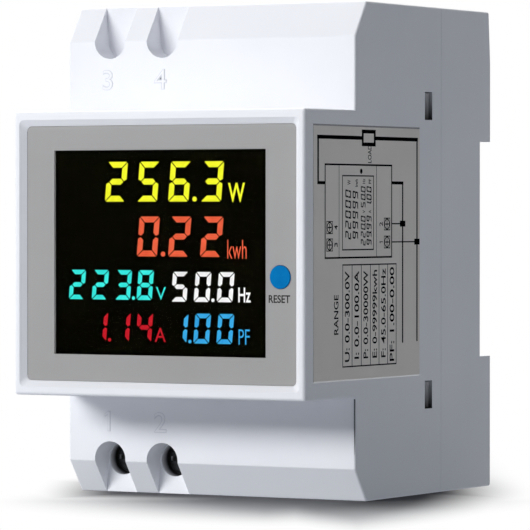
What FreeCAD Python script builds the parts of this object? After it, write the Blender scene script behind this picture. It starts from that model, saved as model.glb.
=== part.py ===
import FreeCAD, Part
import math
import os

# Energy meter for a 35 mm mounting rail, three modules wide.
# Millimetres. X runs across the front, -Y is the front, Z is up.
# The origin is at the middle of the footprint, on the surface that the meter stands on.

Vector = FreeCAD.Vector

# Housing
overall_width = 54.0
overall_height = 80.0
overall_depth = 64.0
cover_wall = 2.0
base_wall = 2.0
base_depth = 18.0
edge_round = 0.4
seam_groove = 0.1
fit_gap = 0.1
touch_gap = 0.05
point_tolerance = 0.001

# Raised display box on the front
box_bottom = 16.7
upper_shoulder = 17.5
box_depth = 16.5
box_round = 0.6
bezel_rim_side = 1.0
bezel_rim_end = 1.35
bevel_width = 1.0
bevel_depth = 0.8
panel_corner = 0.8

# Chamfered shoulders above and below the box
chamfer_setback = 3.8
lower_chamfer = 5.3
upper_chamfer = 5.7

# Faceplate, pane and reset button
overlay_thickness = 0.5
window_border_left = 7.2
window_border_right = 7.5
window_border_bottom = 6.7
window_border_top = 6.3
window_lip = 0.9
pane_thickness = 0.9
button_inset = 4.85
button_above_box = 19.4
button_radius = 1.84
button_proud = 0.2
button_travel = 0.4
button_flange_width = 0.5
button_flange_thickness = 0.5
button_clearance = 0.07

# Display module
lcd_sheet = 0.9
lcd_ledge = 2.0
lcd_pin_size = 0.4
lcd_pin_pitch = 2.2
lcd_pins_per_row = 16
backlight_thickness = 2.9
board_thickness = 1.6

# Switch under the button
switch_side = 4.2
switch_height = 1.8
switch_corner = 0.4
plunger_radius = 1.0
plunger_length = 1.6

# Terminals
terminal_inset = 8.0
terminal_pitch = 10.0
terminal_height = 5.6
pocket_radius = 2.95
pocket_depth = 4.4
well_radius = 2.75
well_depth = 2.2
head_radius = 2.4
head_thickness = 2.4
head_slot_width = 0.7
head_slot_depth = 0.8
seat_wall = 1.4
screw_radius = 1.75
screw_pitch = 0.6
screw_turns = 6
cage_width = 6.6
cage_length = 5.8
cage_front_wall = 1.7
cage_rear_wall = 1.2
cage_side_wall = 0.8
wire_space = 4.6
wire_hole = 5.2
wire_mouth = 0.7
busbar_width = 4.0
busbar_thickness = 1.2
busbar_tail_width = 2.0
busbar_rise = 4.0
carrier_wall = 1.2
carrier_height = 8.7
carrier_end_wall = 1.0
carrier_rib = 1.6

# Main board
main_board_margin = 0.5
main_board_end = 11.5
main_board_set_forward = 2.4
post_radius = 2.2
post_bore = 1.0
board_hole = 1.4
screw_shank = 0.95
screw_head = 1.9
screw_head_height = 1.3
screw_bite = 7.0

# Display board
display_board_margin = 0.6
small_post_radius = 1.6
small_post_bore = 0.7
small_screw_shank = 0.65
small_screw_head = 1.4
small_screw_bite = 2.4
small_hole = 0.8
corner_inset = 2.0

# Pin header between the boards
header_pins = 8
header_pitch = 2.54
header_pin_size = 0.64
header_strip = 2.5
header_inset = 2.0

# Current transformer round the conductor hole
conductor_radius = 5.0
sleeve_wall = 1.0
sleeve_collar = 1.2
sleeve_end_inset = 0.2
winding_wall = 3.1
core_share = 0.45
winding_height = 13.0
winding_clearance = 0.4
lead_radius = 0.4
lead_spacing = 5.0
lead_rise = 5.0
lead_bend = 1.5
cradle_rib = 1.6

# Rail slot and its fixed hooks
rail_height = 35.0
slot_clearance = 1.1
slot_bottom = 22.0
slot_depth = 3.8
rear_taper = 0.6
rear_taper_height = 8.7
hook_reach = 1.8
hook_setback = 1.3
hook_width = 12.0
hook_inset = 7.0

# Sprung rail clip
clip_width = 12.0
clip_flange = 1.6
clip_flange_thickness = 1.6
clip_thickness = 4.4
clip_recess = 0.3
clip_gap = 0.3
clip_nose = 1.8
clip_nose_slope = 1.2
clip_lift = 1.0
clip_travel = 3.5
clip_eye_width = 6.0
clip_eye_height = 2.4
clip_eye_wall = 1.6
clip_rear_skin = 0.8
channel_wall = 1.8
channel_roof = 1.0
spring_radius = 1.3
spring_wire = 0.25
spring_coils = 4
spring_pressed_length = 5.5
peg_height = 2.0

# Snap hooks that hold the two shells together
snap_window_height = 4.6
snap_window_width = 2.6
snap_window_lower = 14.0
snap_window_upper = 61.4
snap_set_forward = 4.4
snap_arm = 1.4
snap_depth = 1.6
tongue_wall = 1.0
tongue_reach = 2.7

# Label recess on the right side
label_front = 2.6
label_rear = 38.4
label_bottom = 19.5
label_top = 60.1
label_recess = 0.35
label_thickness = 0.12
label_sink = 0.01

# Parts on the boards
film_capacitor_size = (17.0, 14.0, 8.5)
film_capacitor_round = 0.8
can_radius = 4.0
can_height = 12.0
can_spacing = 10.0
can_vent_depth = 0.3
varistor_radius = 4.6
varistor_thickness = 3.4
lead_wire = 0.3
fuse_radius = 1.6
fuse_length = 8.0
rectifier_size = (8.0, 3.2, 6.4)
rectifier_legs = 2
metering_chip_size = (10.2, 2.2, 7.4)
metering_chip_legs = 8
microcontroller_size = (10.0, 1.4, 10.0)
microcontroller_legs = 10
chip_leg = 0.4
chip_leg_reach = 1.1
component_lift = 0.3
component_spacing = 1.0

# Places that follow from the sizes above
half_width = overall_width / 2
front_y = -overall_depth / 2
rear_y = overall_depth / 2
seam_y = rear_y - base_depth
shoulder_y = front_y + box_depth
edge_y = shoulder_y + chamfer_setback
box_top = overall_height - upper_shoulder
panel_y = front_y + bevel_depth
panel_floor_y = panel_y + overlay_thickness
panel_wall_y = panel_floor_y + cover_wall
panel_half_width = half_width - bezel_rim_side - bevel_width
panel_bottom = box_bottom + bezel_rim_end + bevel_width
panel_top = box_top - bezel_rim_end - bevel_width
window_left = -half_width + window_border_left
window_right = half_width - window_border_right
window_bottom = box_bottom + window_border_bottom
window_top = box_top - window_border_top
button_x = half_width - button_inset
button_z = box_bottom + button_above_box

pane_rear_y = panel_y + pane_thickness
lcd_front_y = pane_rear_y + fit_gap
lcd_rear_y = lcd_front_y + 2 * lcd_sheet
display_board_y = lcd_rear_y + backlight_thickness + fit_gap
display_board_rear_y = display_board_y + board_thickness

terminal_1_x = -half_width + terminal_inset
terminal_2_x = terminal_1_x + terminal_pitch
pocket_floor_y = shoulder_y + pocket_depth
head_y = pocket_floor_y + well_depth
seat_y = head_y + head_thickness
boss_rear_y = seat_y + seat_wall
carrier_front_y = boss_rear_y + fit_gap
cage_travel = screw_turns * screw_pitch
cage_front_y = carrier_front_y + carrier_wall + fit_gap + cage_travel
busbar_y = cage_front_y + cage_front_wall + fit_gap
wire_front_y = busbar_y + busbar_thickness
wire_rear_y = wire_front_y + wire_space
cage_rear_y = wire_rear_y + cage_rear_wall
carrier_rear_y = cage_rear_y + fit_gap + carrier_wall
wire_y = (wire_front_y + wire_rear_y) / 2
carrier_bottom = cover_wall + fit_gap
carrier_top = carrier_bottom + carrier_height
carrier_left = terminal_1_x - cage_width / 2 - fit_gap - carrier_wall
carrier_right = terminal_2_x + cage_width / 2 + fit_gap + carrier_wall

main_board_rear_y = busbar_y - main_board_set_forward
main_board_y = main_board_rear_y - board_thickness
main_board_half_width = half_width - cover_wall - main_board_margin
main_board_top = overall_height - main_board_end
busbar_tail_z = main_board_end + busbar_rise - 2 * busbar_thickness
post_z = busbar_tail_z + busbar_thickness / 2
post_left_x = (terminal_1_x + terminal_2_x) / 2
post_right_x = half_width - cover_wall - post_radius - 2 * main_board_margin

display_board_half_width = half_width - cover_wall - display_board_margin
display_board_bottom = box_bottom + cover_wall + display_board_margin
display_board_top = box_top - cover_wall - display_board_margin

slot_floor_y = rear_y - slot_depth
slot_top = slot_bottom + rail_height + slot_clearance
sleeve_radius = conductor_radius + sleeve_wall
winding_bore = sleeve_radius + winding_clearance
winding_radius = winding_bore + winding_wall
winding_build = winding_wall * (1 - core_share) / 2
conductor_x = half_width - cover_wall - tongue_wall - 2 * winding_clearance - winding_radius
conductor_y = (main_board_rear_y + slot_floor_y - base_wall) / 2
winding_z = overall_height / 2
core_inner = winding_bore + winding_build
core_outer = winding_radius - winding_build
core_height = winding_height - 2 * winding_build

spring_length = spring_pressed_length + clip_travel
clip_rear_y = rear_y - clip_recess
clip_front_y = clip_rear_y - clip_thickness
channel_floor_y = clip_front_y - clip_gap
clip_flange_rear_y = clip_front_y + clip_flange_thickness
clip_top = slot_bottom - clip_gap
clip_nose_y = slot_floor_y + hook_setback
spring_y = (clip_front_y + clip_rear_y - clip_rear_skin) / 2
clip_pocket_top = clip_top - clip_eye_wall
peg_top = clip_pocket_top - touch_gap - spring_length - touch_gap
peg_bottom = peg_top - peg_height
clip_pocket_bottom = peg_bottom - touch_gap
clip_pocket_half_width = spring_radius + spring_wire + fit_gap
rectifier_x = main_board_half_width - rectifier_size[0]
varistor_x = rectifier_x - (rectifier_size[0] + varistor_thickness) / 2 - component_spacing
varistor_z = display_board_bottom + header_strip + varistor_radius

snap_y = seam_y - snap_set_forward


def box(x0, x1, y0, y1, z0, z1):
    return Part.makeBox(x1 - x0, y1 - y0, z1 - z0, Vector(x0, y0, z0))


def rod_along_y(x, z, radius, y0, y1):
    return Part.makeCylinder(radius, y1 - y0, Vector(x, y0, z), Vector(0, 1, 0))


def rod_along_z(x, y, radius, z0, z1):
    return Part.makeCylinder(radius, z1 - z0, Vector(x, y, z0), Vector(0, 0, 1))


def rod_along_x(y, z, radius, x0, x1):
    return Part.makeCylinder(radius, x1 - x0, Vector(x0, y, z), Vector(1, 0, 0))


def prism_along_x(outline, x0, x1):
    """Extrudes an outline of (y, z) points from x0 to x1."""
    points = [Vector(x0, y, z) for y, z in outline]
    face = Part.Face(Part.makePolygon(points + points[:1]))
    return face.extrude(Vector(x1 - x0, 0, 0))


def prism_along_z(outline, z0, z1):
    """Extrudes an outline of (x, y) points from z0 to z1."""
    points = [Vector(x, y, z0) for x, y in outline]
    face = Part.Face(Part.makePolygon(points + points[:1]))
    return face.extrude(Vector(0, 0, z1 - z0))


def rounded_outline(x0, x1, z0, z1, radius, y):
    """Rectangle with rounded corners, in the plane at depth y."""
    diagonal = radius * math.sqrt(0.5)
    corners = [
        (x1 - radius, z0 + radius, 1, -1),
        (x1 - radius, z1 - radius, 1, 1),
        (x0 + radius, z1 - radius, -1, 1),
        (x0 + radius, z0 + radius, -1, -1),
    ]
    arcs = []
    for x, z, side, end in corners:
        on_side = Vector(x + side * radius, y, z)
        middle = Vector(x + side * diagonal, y, z + end * diagonal)
        on_end = Vector(x, y, z + end * radius)
        if side * end > 0:
            arcs.append(Part.Arc(on_side, middle, on_end))
        else:
            arcs.append(Part.Arc(on_end, middle, on_side))
    edges = []
    for arc, following in zip(arcs, arcs[1:] + arcs[:1]):
        edges.append(arc.toShape())
        edges.append(Part.LineSegment(arc.EndPoint, following.StartPoint).toShape())
    return Part.Wire(edges)


def rounded_plate(x0, x1, y0, y1, z0, z1, radius):
    outline = rounded_outline(x0, x1, z0, z1, radius, y0)
    return Part.Face(outline).extrude(Vector(0, y1 - y0, 0))


def upside_down(shape):
    """The same piece at the other end of the housing."""
    return shape.mirror(Vector(0, 0, overall_height / 2), Vector(0, 0, 1))


def at_both_ends(shape):
    return [shape, upside_down(shape)]


def on_both_sides(shape):
    return [shape, shape.mirror(Vector(0, 0, 0), Vector(1, 0, 0))]


def round_edges(shape, radius, wanted):
    """Rounds the edges whose two ends both satisfy wanted."""
    edges = []
    for edge in shape.Edges:
        ends = [vertex.Point for vertex in edge.Vertexes]
        if wanted(*ends):
            edges.append(edge)
    return shape.makeFillet(radius, edges)


def same(a, b):
    return abs(a - b) < point_tolerance


def chamfer_corners(height, inset):
    """Depth of a chamfer's foot, and how far from the end of the housing it bends into the shoulder."""
    slope = height / chamfer_setback
    slant_shift = inset * math.sqrt(1 + slope * slope)
    return shoulder_y + (height - inset + slant_shift) / slope, height - slope * inset + slant_shift


def cover_outline(inset, front_inset):
    """Side view of the front cover, or of its cavity when it is set in from the outside."""
    bend_y = shoulder_y + inset
    lower_foot_y, lower_bend = chamfer_corners(lower_chamfer, inset)
    upper_foot_y, upper_bend = chamfer_corners(upper_chamfer, inset)
    lower = [(seam_y, inset), (lower_foot_y, inset), (bend_y, lower_bend), (bend_y, box_bottom + inset)]
    front = [(front_y + front_inset, box_bottom + inset), (front_y + front_inset, box_top - inset)]
    upper = [(bend_y, box_top - inset), (bend_y, overall_height - upper_bend)]
    end = [(upper_foot_y, overall_height - inset), (seam_y, overall_height - inset)]
    return lower + front + upper + end


def cover_body():
    body = prism_along_x(cover_outline(0, 0), -half_width, half_width)

    def on_box_front(a, b):
        return same(a.y, front_y) and same(b.y, front_y)

    def on_outside(a, b):
        ahead_of_seam = min(a.y, b.y) < seam_y - edge_round
        on_side = same(abs(a.x), half_width) and same(a.x, b.x)
        across = same(a.y, b.y) and same(a.z, b.z) and not same(a.y, seam_y)
        under_box = across and same(a.y, shoulder_y) and (same(a.z, box_bottom) or same(a.z, box_top))
        behind_box = max(a.y, b.y) > front_y + box_round + edge_round
        return ahead_of_seam and behind_box and (on_side or across) and not under_box

    body = round_edges(body, box_round, on_box_front)
    return round_edges(body, edge_round, on_outside)


def terminal_boss(rear):
    """Solid corner of the shoulder that the two pockets are sunk in."""
    top = terminal_height + pocket_radius + cover_wall
    return box(-half_width, carrier_right, shoulder_y, rear, 0, top)


def cover_cavity():
    cavity = prism_along_x(
        cover_outline(cover_wall, panel_wall_y - front_y), -half_width + cover_wall, half_width - cover_wall
    )
    blank_boss = terminal_boss(pocket_floor_y + cover_wall)
    return cavity.cut([terminal_boss(boss_rear_y), upside_down(blank_boss)])


def panel_recess():
    """Bevelled frame round the faceplate, and the step that the faceplate lies in."""
    mouth = rounded_outline(
        -panel_half_width - bevel_width, panel_half_width + bevel_width,
        panel_bottom - bevel_width, panel_top + bevel_width, panel_corner, front_y
    )
    floor = rounded_outline(
        -panel_half_width, panel_half_width, panel_bottom, panel_top, panel_corner, panel_y
    )
    bevel = Part.makeLoft([mouth, floor], True, True)
    step = rounded_plate(
        -panel_half_width, panel_half_width, panel_y, panel_floor_y, panel_bottom, panel_top, panel_corner
    )
    return bevel.fuse(step)


def pocket(x):
    """U-shaped screwdriver pocket in the lower shoulder, with a floor that runs out at the edge."""
    arch = rod_along_y(x, terminal_height, pocket_radius, shoulder_y - cover_wall, seam_y)
    sides = box(
        x - pocket_radius, x + pocket_radius, shoulder_y - cover_wall, seam_y, -cover_wall, terminal_height
    )
    slope = (pocket_floor_y - edge_y) / terminal_height
    low_z = -cover_wall
    high_z = terminal_height + 2 * pocket_radius
    open_side = prism_along_x(
        [
            (shoulder_y - cover_wall, low_z),
            (edge_y + slope * low_z, low_z),
            (edge_y + slope * high_z, high_z),
            (shoulder_y - cover_wall, high_z),
        ],
        x - 2 * pocket_radius, x + 2 * pocket_radius
    )
    return arch.fuse(sides).common(open_side)


def screw_well(x):
    """Stepped bore behind a pocket: driver well, head seat and screw hole."""
    well = rod_along_y(x, terminal_height, well_radius, shoulder_y, head_y)
    seat = rod_along_y(x, terminal_height, head_radius + fit_gap, head_y, seat_y)
    hole = rod_along_y(x, terminal_height, screw_radius + fit_gap, seat_y, boss_rear_y)
    return well.fuse([seat, hole])


def wire_entry(x):
    """Square wire hole in the lower wall, with a funnelled mouth."""
    half = wire_hole / 2
    hole = box(x - half, x + half, wire_y - half, wire_y + half, -cover_wall, 2 * cover_wall)
    mouth_corners = []
    for reach, z in ((half + wire_mouth, 0), (half, wire_mouth)):
        corners = [(-reach, -reach), (reach, -reach), (reach, reach), (-reach, reach)]
        points = [Vector(x + dx, wire_y + dy, z) for dx, dy in corners]
        mouth_corners.append(Part.makePolygon(points + points[:1]))
    mouth = Part.makeLoft(mouth_corners, True, True)
    return hole.fuse(mouth)


def conductor_hole():
    return rod_along_z(
        conductor_x, conductor_y, sleeve_radius + fit_gap, -cover_wall, overall_height + cover_wall
    )


def snap_windows():
    windows = []
    for z in (snap_window_lower, snap_window_upper):
        window = box(
            half_width - 2 * cover_wall, half_width + cover_wall,
            snap_y - snap_window_width / 2 - touch_gap, snap_y + snap_window_width / 2 - touch_gap,
            z, z + snap_window_height
        )
        windows += on_both_sides(window)
    return windows


def label_bed(depth_front, depth_rear):
    """Wedge along the right side, deeper at the front, from the skin down to the given depths."""
    y0 = front_y + label_front
    y1 = front_y + label_rear
    outline = [
        (half_width - depth_front, y0),
        (half_width - depth_rear, y1),
        (half_width + cover_wall, y1),
        (half_width + cover_wall, y0),
    ]
    return prism_along_z(outline, label_bottom, label_top)


def post_places():
    return [(post_left_x, post_z), (post_right_x, post_z)]


def corner_places():
    x = display_board_half_width - corner_inset
    low = display_board_bottom + corner_inset
    high = display_board_top - corner_inset
    return [(-x, low), (x, low), (-x, high), (x, high)]


def board_posts():
    posts = []
    for x, z in post_places():
        post = rod_along_y(x, z, post_radius, shoulder_y + cover_wall / 2, main_board_y)
        bore = rod_along_y(x, z, post_bore, main_board_y - screw_bite, main_board_y)
        posts += at_both_ends(post.cut(bore))
    for x, z in corner_places():
        post = rod_along_y(x, z, small_post_radius, panel_wall_y - cover_wall / 2, display_board_y)
        bore_end = display_board_y - small_screw_bite - touch_gap
        bore = rod_along_y(x, z, small_post_bore, bore_end, display_board_y)
        posts.append(post.cut(bore))
    return posts


def front_cover():
    cover = cover_body().cut(cover_cavity())
    cover = cover.fuse(board_posts())
    cuts = [panel_recess(), conductor_hole(), label_bed(label_recess, label_thickness + label_sink)]
    cuts += snap_windows()
    cuts.append(box(
        window_left - window_lip - fit_gap, window_right + touch_gap + fit_gap,
        panel_floor_y - cover_wall, panel_wall_y + cover_wall / 2,
        window_bottom - window_lip - fit_gap, window_top + window_lip + fit_gap
    ))
    cuts.append(rod_along_y(button_x, button_z, button_radius + button_clearance, front_y, panel_wall_y))
    for x in (terminal_1_x, terminal_2_x):
        cuts += at_both_ends(pocket(x)) + [screw_well(x), wire_entry(x)]
    return cover.cut(cuts)


def base_outline(inset):
    """Side view of the rear base, or of its cavity when it is set in."""
    lower = [(seam_y, inset), (rear_y - inset, inset), (rear_y - inset, slot_bottom - inset)]
    slot = [(slot_floor_y - inset, slot_bottom - inset), (slot_floor_y - inset, slot_top + inset)]
    taper = [(rear_y - inset, slot_top + inset), (rear_y - inset, overall_height - rear_taper_height)]
    end = [(rear_y - rear_taper - inset, overall_height - inset), (seam_y, overall_height - inset)]
    return lower + slot + taper + end


def base_body():
    body = prism_along_x(base_outline(0), -half_width, half_width)

    def along_sides(a, b):
        on_side = same(abs(a.x), half_width) and same(a.x, b.x)
        return on_side and same(a.z, b.z) and same(min(a.y, b.y), seam_y)

    body = round_edges(body, edge_round, along_sides)
    groove = box(
        -half_width - seam_groove, half_width + seam_groove, seam_y, seam_y + seam_groove,
        -seam_groove, overall_height + seam_groove
    )
    core = box(
        -half_width + seam_groove, half_width - seam_groove, seam_y, seam_y + seam_groove,
        seam_groove, overall_height - seam_groove
    )
    return body.cut(groove.cut(core))


def tongue():
    """Thin frame on the base that slides inside the cover's walls."""
    reach_x = half_width - cover_wall - fit_gap
    low = cover_wall + fit_gap
    outer = box(-reach_x, reach_x, seam_y - tongue_reach, seam_y, low, overall_height - low)
    root_x = half_width - base_wall / 2
    root = box(-root_x, root_x, seam_y, seam_y + base_wall, base_wall / 2, overall_height - base_wall / 2)
    hollow = box(
        -reach_x + tongue_wall, reach_x - tongue_wall, seam_y - tongue_reach, seam_y + base_wall,
        low + tongue_wall, overall_height - low - tongue_wall
    )
    return outer.fuse(root).cut(hollow)


def snap_hook(z):
    """Arm with a wedge that springs out into a window of the cover, at the right side."""
    outer_x = half_width - cover_wall - fit_gap
    tip_y = snap_y - snap_window_width / 2 - fit_gap
    catch_y = snap_y + snap_window_width / 2 - 2 * fit_gap
    outline = [
        (outer_x, seam_y + base_wall),
        (outer_x - snap_arm, seam_y + base_wall),
        (outer_x - snap_arm, tip_y),
        (outer_x, tip_y),
        (outer_x + snap_depth, catch_y - snap_depth / 2),
        (outer_x + snap_depth, catch_y),
        (outer_x, catch_y),
    ]
    return prism_along_z(outline, z + 2 * fit_gap, z + snap_window_height - 2 * fit_gap)


def rail_hook(x):
    """Fixed tooth that the top edge of the rail slips behind."""
    front = slot_floor_y + hook_setback
    outline = [
        (front, slot_top + base_wall),
        (front, slot_top - hook_reach),
        ((front + rear_y) / 2, slot_top - hook_reach),
        (rear_y, slot_top - hook_reach / 2),
        (rear_y, slot_top + base_wall),
    ]
    return prism_along_x(outline, x - hook_width / 2, x + hook_width / 2)


def clip_channel_cuts():
    wide = clip_width / 2 + clip_flange + clip_gap
    narrow = clip_width / 2 + clip_gap
    flange_room = box(
        -wide, wide, channel_floor_y, clip_flange_rear_y + clip_gap, -base_wall, slot_bottom - channel_roof
    )
    throat = box(-narrow, narrow, channel_floor_y, rear_y + base_wall, -base_wall, slot_bottom)
    return [flange_room, throat]


def spring_peg():
    reach_y = clip_rear_y - clip_rear_skin - clip_gap
    half = clip_pocket_half_width - 2 * fit_gap
    return box(-half, half, channel_floor_y - channel_wall / 2, reach_y, peg_bottom, peg_top)


def ct_cradle():
    """Two ribs on the base, hollowed to carry the transformer."""
    ribs = []
    for side in (-1, 1):
        z = winding_z + side * winding_height / 4
        rib = box(
            conductor_x - winding_radius / 2, conductor_x + winding_radius / 2,
            seam_y, slot_floor_y - base_wall / 2, z - cradle_rib / 2, z + cradle_rib / 2
        )
        ribs.append(rib)
    hollow = rod_along_z(conductor_x, conductor_y, winding_radius + fit_gap, 0, overall_height)
    return [rib.cut(hollow) for rib in ribs]


def cradle_zone():
    """Keeps the collar clearance away from the ribs that carry the transformer."""
    return box(
        -half_width, half_width, seam_y, rear_y,
        winding_z - winding_height, winding_z + winding_height
    )


def carrier_press():
    """Wall on the base that presses the terminal carrier against the cover."""
    front = carrier_rear_y + fit_gap
    back = rear_y - base_wall / 2 - rear_taper
    outline = [
        (front, carrier_top),
        (front, carrier_bottom),
        (seam_y, carrier_bottom),
        (seam_y, base_wall / 2),
        (back, base_wall / 2),
        (back, carrier_top),
    ]
    return prism_along_x(outline, post_left_x - carrier_rib / 2, post_left_x + carrier_rib / 2)


def rear_base():
    cavity = prism_along_x(base_outline(base_wall), -half_width + base_wall, half_width - base_wall)
    shell = base_body().cut(cavity)
    wide = clip_width / 2 + clip_flange + clip_gap + channel_wall
    channel = box(
        -wide, wide, channel_floor_y - channel_wall, rear_y - base_wall / 2, base_wall / 2, slot_bottom
    )
    hooks = []
    for x in (-hook_inset, hook_inset):
        hooks.append(rail_hook(x + math.copysign(hook_width / 2, x)))
    arms = []
    for z in (snap_window_lower, snap_window_upper):
        arms += on_both_sides(snap_hook(z))
    base = shell.fuse([channel, tongue(), carrier_press()] + hooks + arms + ct_cradle())
    collar_room = rod_along_z(
        conductor_x, conductor_y, sleeve_radius + sleeve_collar + fit_gap,
        cover_wall + touch_gap, overall_height - cover_wall - touch_gap
    )
    carrier_room = box(
        carrier_left - fit_gap, carrier_right + fit_gap, carrier_front_y, carrier_rear_y + fit_gap,
        cover_wall + touch_gap, carrier_top + fit_gap
    )
    base = base.cut([conductor_hole(), collar_room.cut(cradle_zone()), carrier_room] + clip_channel_cuts())
    return base.fuse(spring_peg())


def front_overlay():
    plate = rounded_plate(
        -panel_half_width + touch_gap, panel_half_width - touch_gap, panel_y, panel_floor_y,
        panel_bottom + touch_gap, panel_top - touch_gap, panel_corner
    )
    window = box(window_left, window_right, front_y, panel_wall_y, window_bottom, window_top)
    hole = rod_along_y(button_x, button_z, button_radius + button_clearance, front_y, panel_wall_y)
    return plate.cut([window, hole])


def display_window():
    """Clear pane: a raised land in the faceplate's opening on a lip behind it."""
    land = box(
        window_left + touch_gap, window_right - touch_gap, panel_y, panel_floor_y,
        window_bottom + touch_gap, window_top - touch_gap
    )
    lip = box(
        window_left - window_lip, window_right - touch_gap, panel_floor_y, pane_rear_y,
        window_bottom - window_lip, window_top + window_lip
    )
    return land.fuse(lip).removeSplitter()


def lcd_glass():
    left = window_left - window_lip
    right = window_right + touch_gap
    bottom = window_bottom - window_lip
    top = window_top + window_lip
    front = box(left, right, lcd_front_y, lcd_front_y + lcd_sheet, bottom, top)
    rear = box(left, right, lcd_front_y + lcd_sheet, lcd_rear_y, bottom + lcd_ledge, top - lcd_ledge)
    return front.fuse(rear)


def lcd_backlight():
    left = window_left - window_lip
    right = window_right + touch_gap
    bottom = window_bottom - window_lip + lcd_ledge
    top = window_top + window_lip - lcd_ledge
    plate = box(left, right, lcd_rear_y, display_board_y - fit_gap, bottom, top)
    wedge = prism_along_z(
        [
            (left + lcd_ledge, display_board_y),
            (right - lcd_ledge, display_board_y),
            (right - lcd_ledge, display_board_y - backlight_thickness / 2),
        ],
        bottom + lcd_ledge, top - lcd_ledge
    )
    return plate.cut(wedge)


def lcd_pin_places():
    middle = (window_left + window_right) / 2
    start = middle - lcd_pin_pitch * (lcd_pins_per_row - 1) / 2
    low = window_bottom - window_lip + lcd_ledge / 2
    high = window_top + window_lip - lcd_ledge / 2
    return [(start + index * lcd_pin_pitch, z) for z in (low, high) for index in range(lcd_pins_per_row)]


def square_pin(x, z, size, y0, y1):
    half = size / 2
    return box(x - half, x + half, y0, y1, z - half, z + half)


def lcd_pins():
    pins = []
    for x, z in lcd_pin_places():
        pins.append(square_pin(
            x, z, lcd_pin_size, lcd_front_y + lcd_sheet, display_board_rear_y + lcd_pin_size
        ))
    return Part.makeCompound(pins)


def header_places():
    x = -display_board_half_width + header_inset
    middle = (box_bottom + box_top) / 2
    start = middle - header_pitch * (header_pins - 1) / 2
    return [(x, start + index * header_pitch) for index in range(header_pins)]


def display_board():
    board = rounded_plate(
        -display_board_half_width, display_board_half_width, display_board_y, display_board_rear_y,
        display_board_bottom, display_board_top, corner_inset / 2
    )
    holes = []
    for x, z in lcd_pin_places():
        holes.append(square_pin(x, z, lcd_pin_size + 2 * touch_gap, display_board_y, display_board_rear_y))
    for x, z in header_places():
        holes.append(square_pin(x, z, header_pin_size + 2 * touch_gap, display_board_y, display_board_rear_y))
    for x, z in corner_places():
        holes.append(rod_along_y(x, z, small_hole, display_board_y, display_board_rear_y))
    return board.cut(holes)


def main_board():
    board = rounded_plate(
        -main_board_half_width, main_board_half_width, main_board_y, main_board_rear_y,
        main_board_end, main_board_top, main_board_margin
    )
    holes = []
    for x, z in header_places():
        holes.append(square_pin(x, z, header_pin_size + 2 * touch_gap, main_board_y, main_board_rear_y))
    for x, z in post_places():
        holes += at_both_ends(rod_along_y(x, z, board_hole, main_board_y, main_board_rear_y))
    for x in (terminal_1_x, terminal_2_x):
        half = busbar_tail_width / 2 + fit_gap
        slot = box(
            x - half, x + half, main_board_y, main_board_rear_y,
            busbar_tail_z - fit_gap, busbar_tail_z + busbar_thickness + fit_gap
        )
        holes.append(slot)
    return board.cut(holes)


def board_header():
    """Two plastic strips, one on each board, and the long pins that join the boards."""
    places = header_places()
    x = places[0][0]
    low = places[0][1] - header_pitch / 2
    high = places[-1][1] + header_pitch / 2
    half = header_strip / 2
    front_y0 = display_board_rear_y
    strip_front = box(x - half, x + half, front_y0, front_y0 + header_strip, low, high)
    strip_rear = box(x - half, x + half, main_board_y - header_strip, main_board_y, low, high)
    pins_front_y = display_board_y - header_pin_size
    pins_rear_y = main_board_rear_y + header_pin_size
    pins = [square_pin(pin_x, pin_z, header_pin_size, pins_front_y, pins_rear_y) for pin_x, pin_z in places]
    return strip_front.fuse([strip_rear] + pins)


def reset_button():
    cap_front = panel_y - button_proud
    flange_front = panel_wall_y + fit_gap
    flange_rear = flange_front + button_flange_thickness
    cap = rod_along_y(button_x, button_z, button_radius, cap_front, flange_front)
    rim = [edge for edge in cap.Edges if same(edge.CenterOfMass.y, cap_front)]
    cap = cap.makeFillet(button_proud / 2, rim)
    flange = rod_along_y(button_x, button_z, button_radius + button_flange_width, flange_front, flange_rear)
    return cap.fuse(flange)


def plunger_front_y():
    return panel_wall_y + fit_gap + button_flange_thickness + touch_gap


def tact_switch():
    half = switch_side / 2
    body = rounded_plate(
        button_x - half, button_x + half, display_board_y - switch_height, display_board_y,
        button_z - half, button_z + half, switch_corner
    )
    bore_end = plunger_front_y() + plunger_length + button_travel + fit_gap
    bore = rod_along_y(
        button_x, button_z, plunger_radius + touch_gap, display_board_y - 2 * switch_height, bore_end
    )
    return body.cut(bore)


def switch_plunger():
    start = plunger_front_y()
    return rod_along_y(button_x, button_z, plunger_radius, start, start + plunger_length)


def terminal_screw(x):
    head = rod_along_y(x, terminal_height, head_radius, head_y, seat_y - touch_gap)
    shank = rod_along_y(x, terminal_height, screw_radius, seat_y - touch_gap, busbar_y - touch_gap)
    half = head_slot_width / 2
    reach = head_radius + fit_gap
    bottom = head_y + head_slot_depth
    slot = box(x - reach, x + reach, head_y, bottom, terminal_height - half, terminal_height + half)
    cross = box(x - half, x + half, head_y, bottom, terminal_height - reach / 2, terminal_height + reach / 2)
    return head.fuse(shank).cut([slot, cross])


def terminal_cage(x):
    """Rectangular lift cage with the threaded wall in front and the wire space behind the busbar."""
    low = terminal_height - cage_length / 2
    high = terminal_height + cage_length / 2
    half = cage_width / 2
    body = rounded_plate_along_z(x - half, x + half, cage_front_y, cage_rear_y, low, high, cage_side_wall / 2)
    window = box(
        x - half + cage_side_wall, x + half - cage_side_wall, cage_front_y + cage_front_wall, wire_rear_y,
        low, high
    )
    thread = rod_along_y(x, terminal_height, screw_radius + touch_gap, cage_front_y, busbar_y)
    return body.cut([window, thread])


def rounded_plate_along_z(x0, x1, y0, y1, z0, z1, radius):
    body = box(x0, x1, y0, y1, z0, z1)

    def upright(a, b):
        return same(a.x, b.x) and same(a.y, b.y)

    return round_edges(body, radius, upright)


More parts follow.
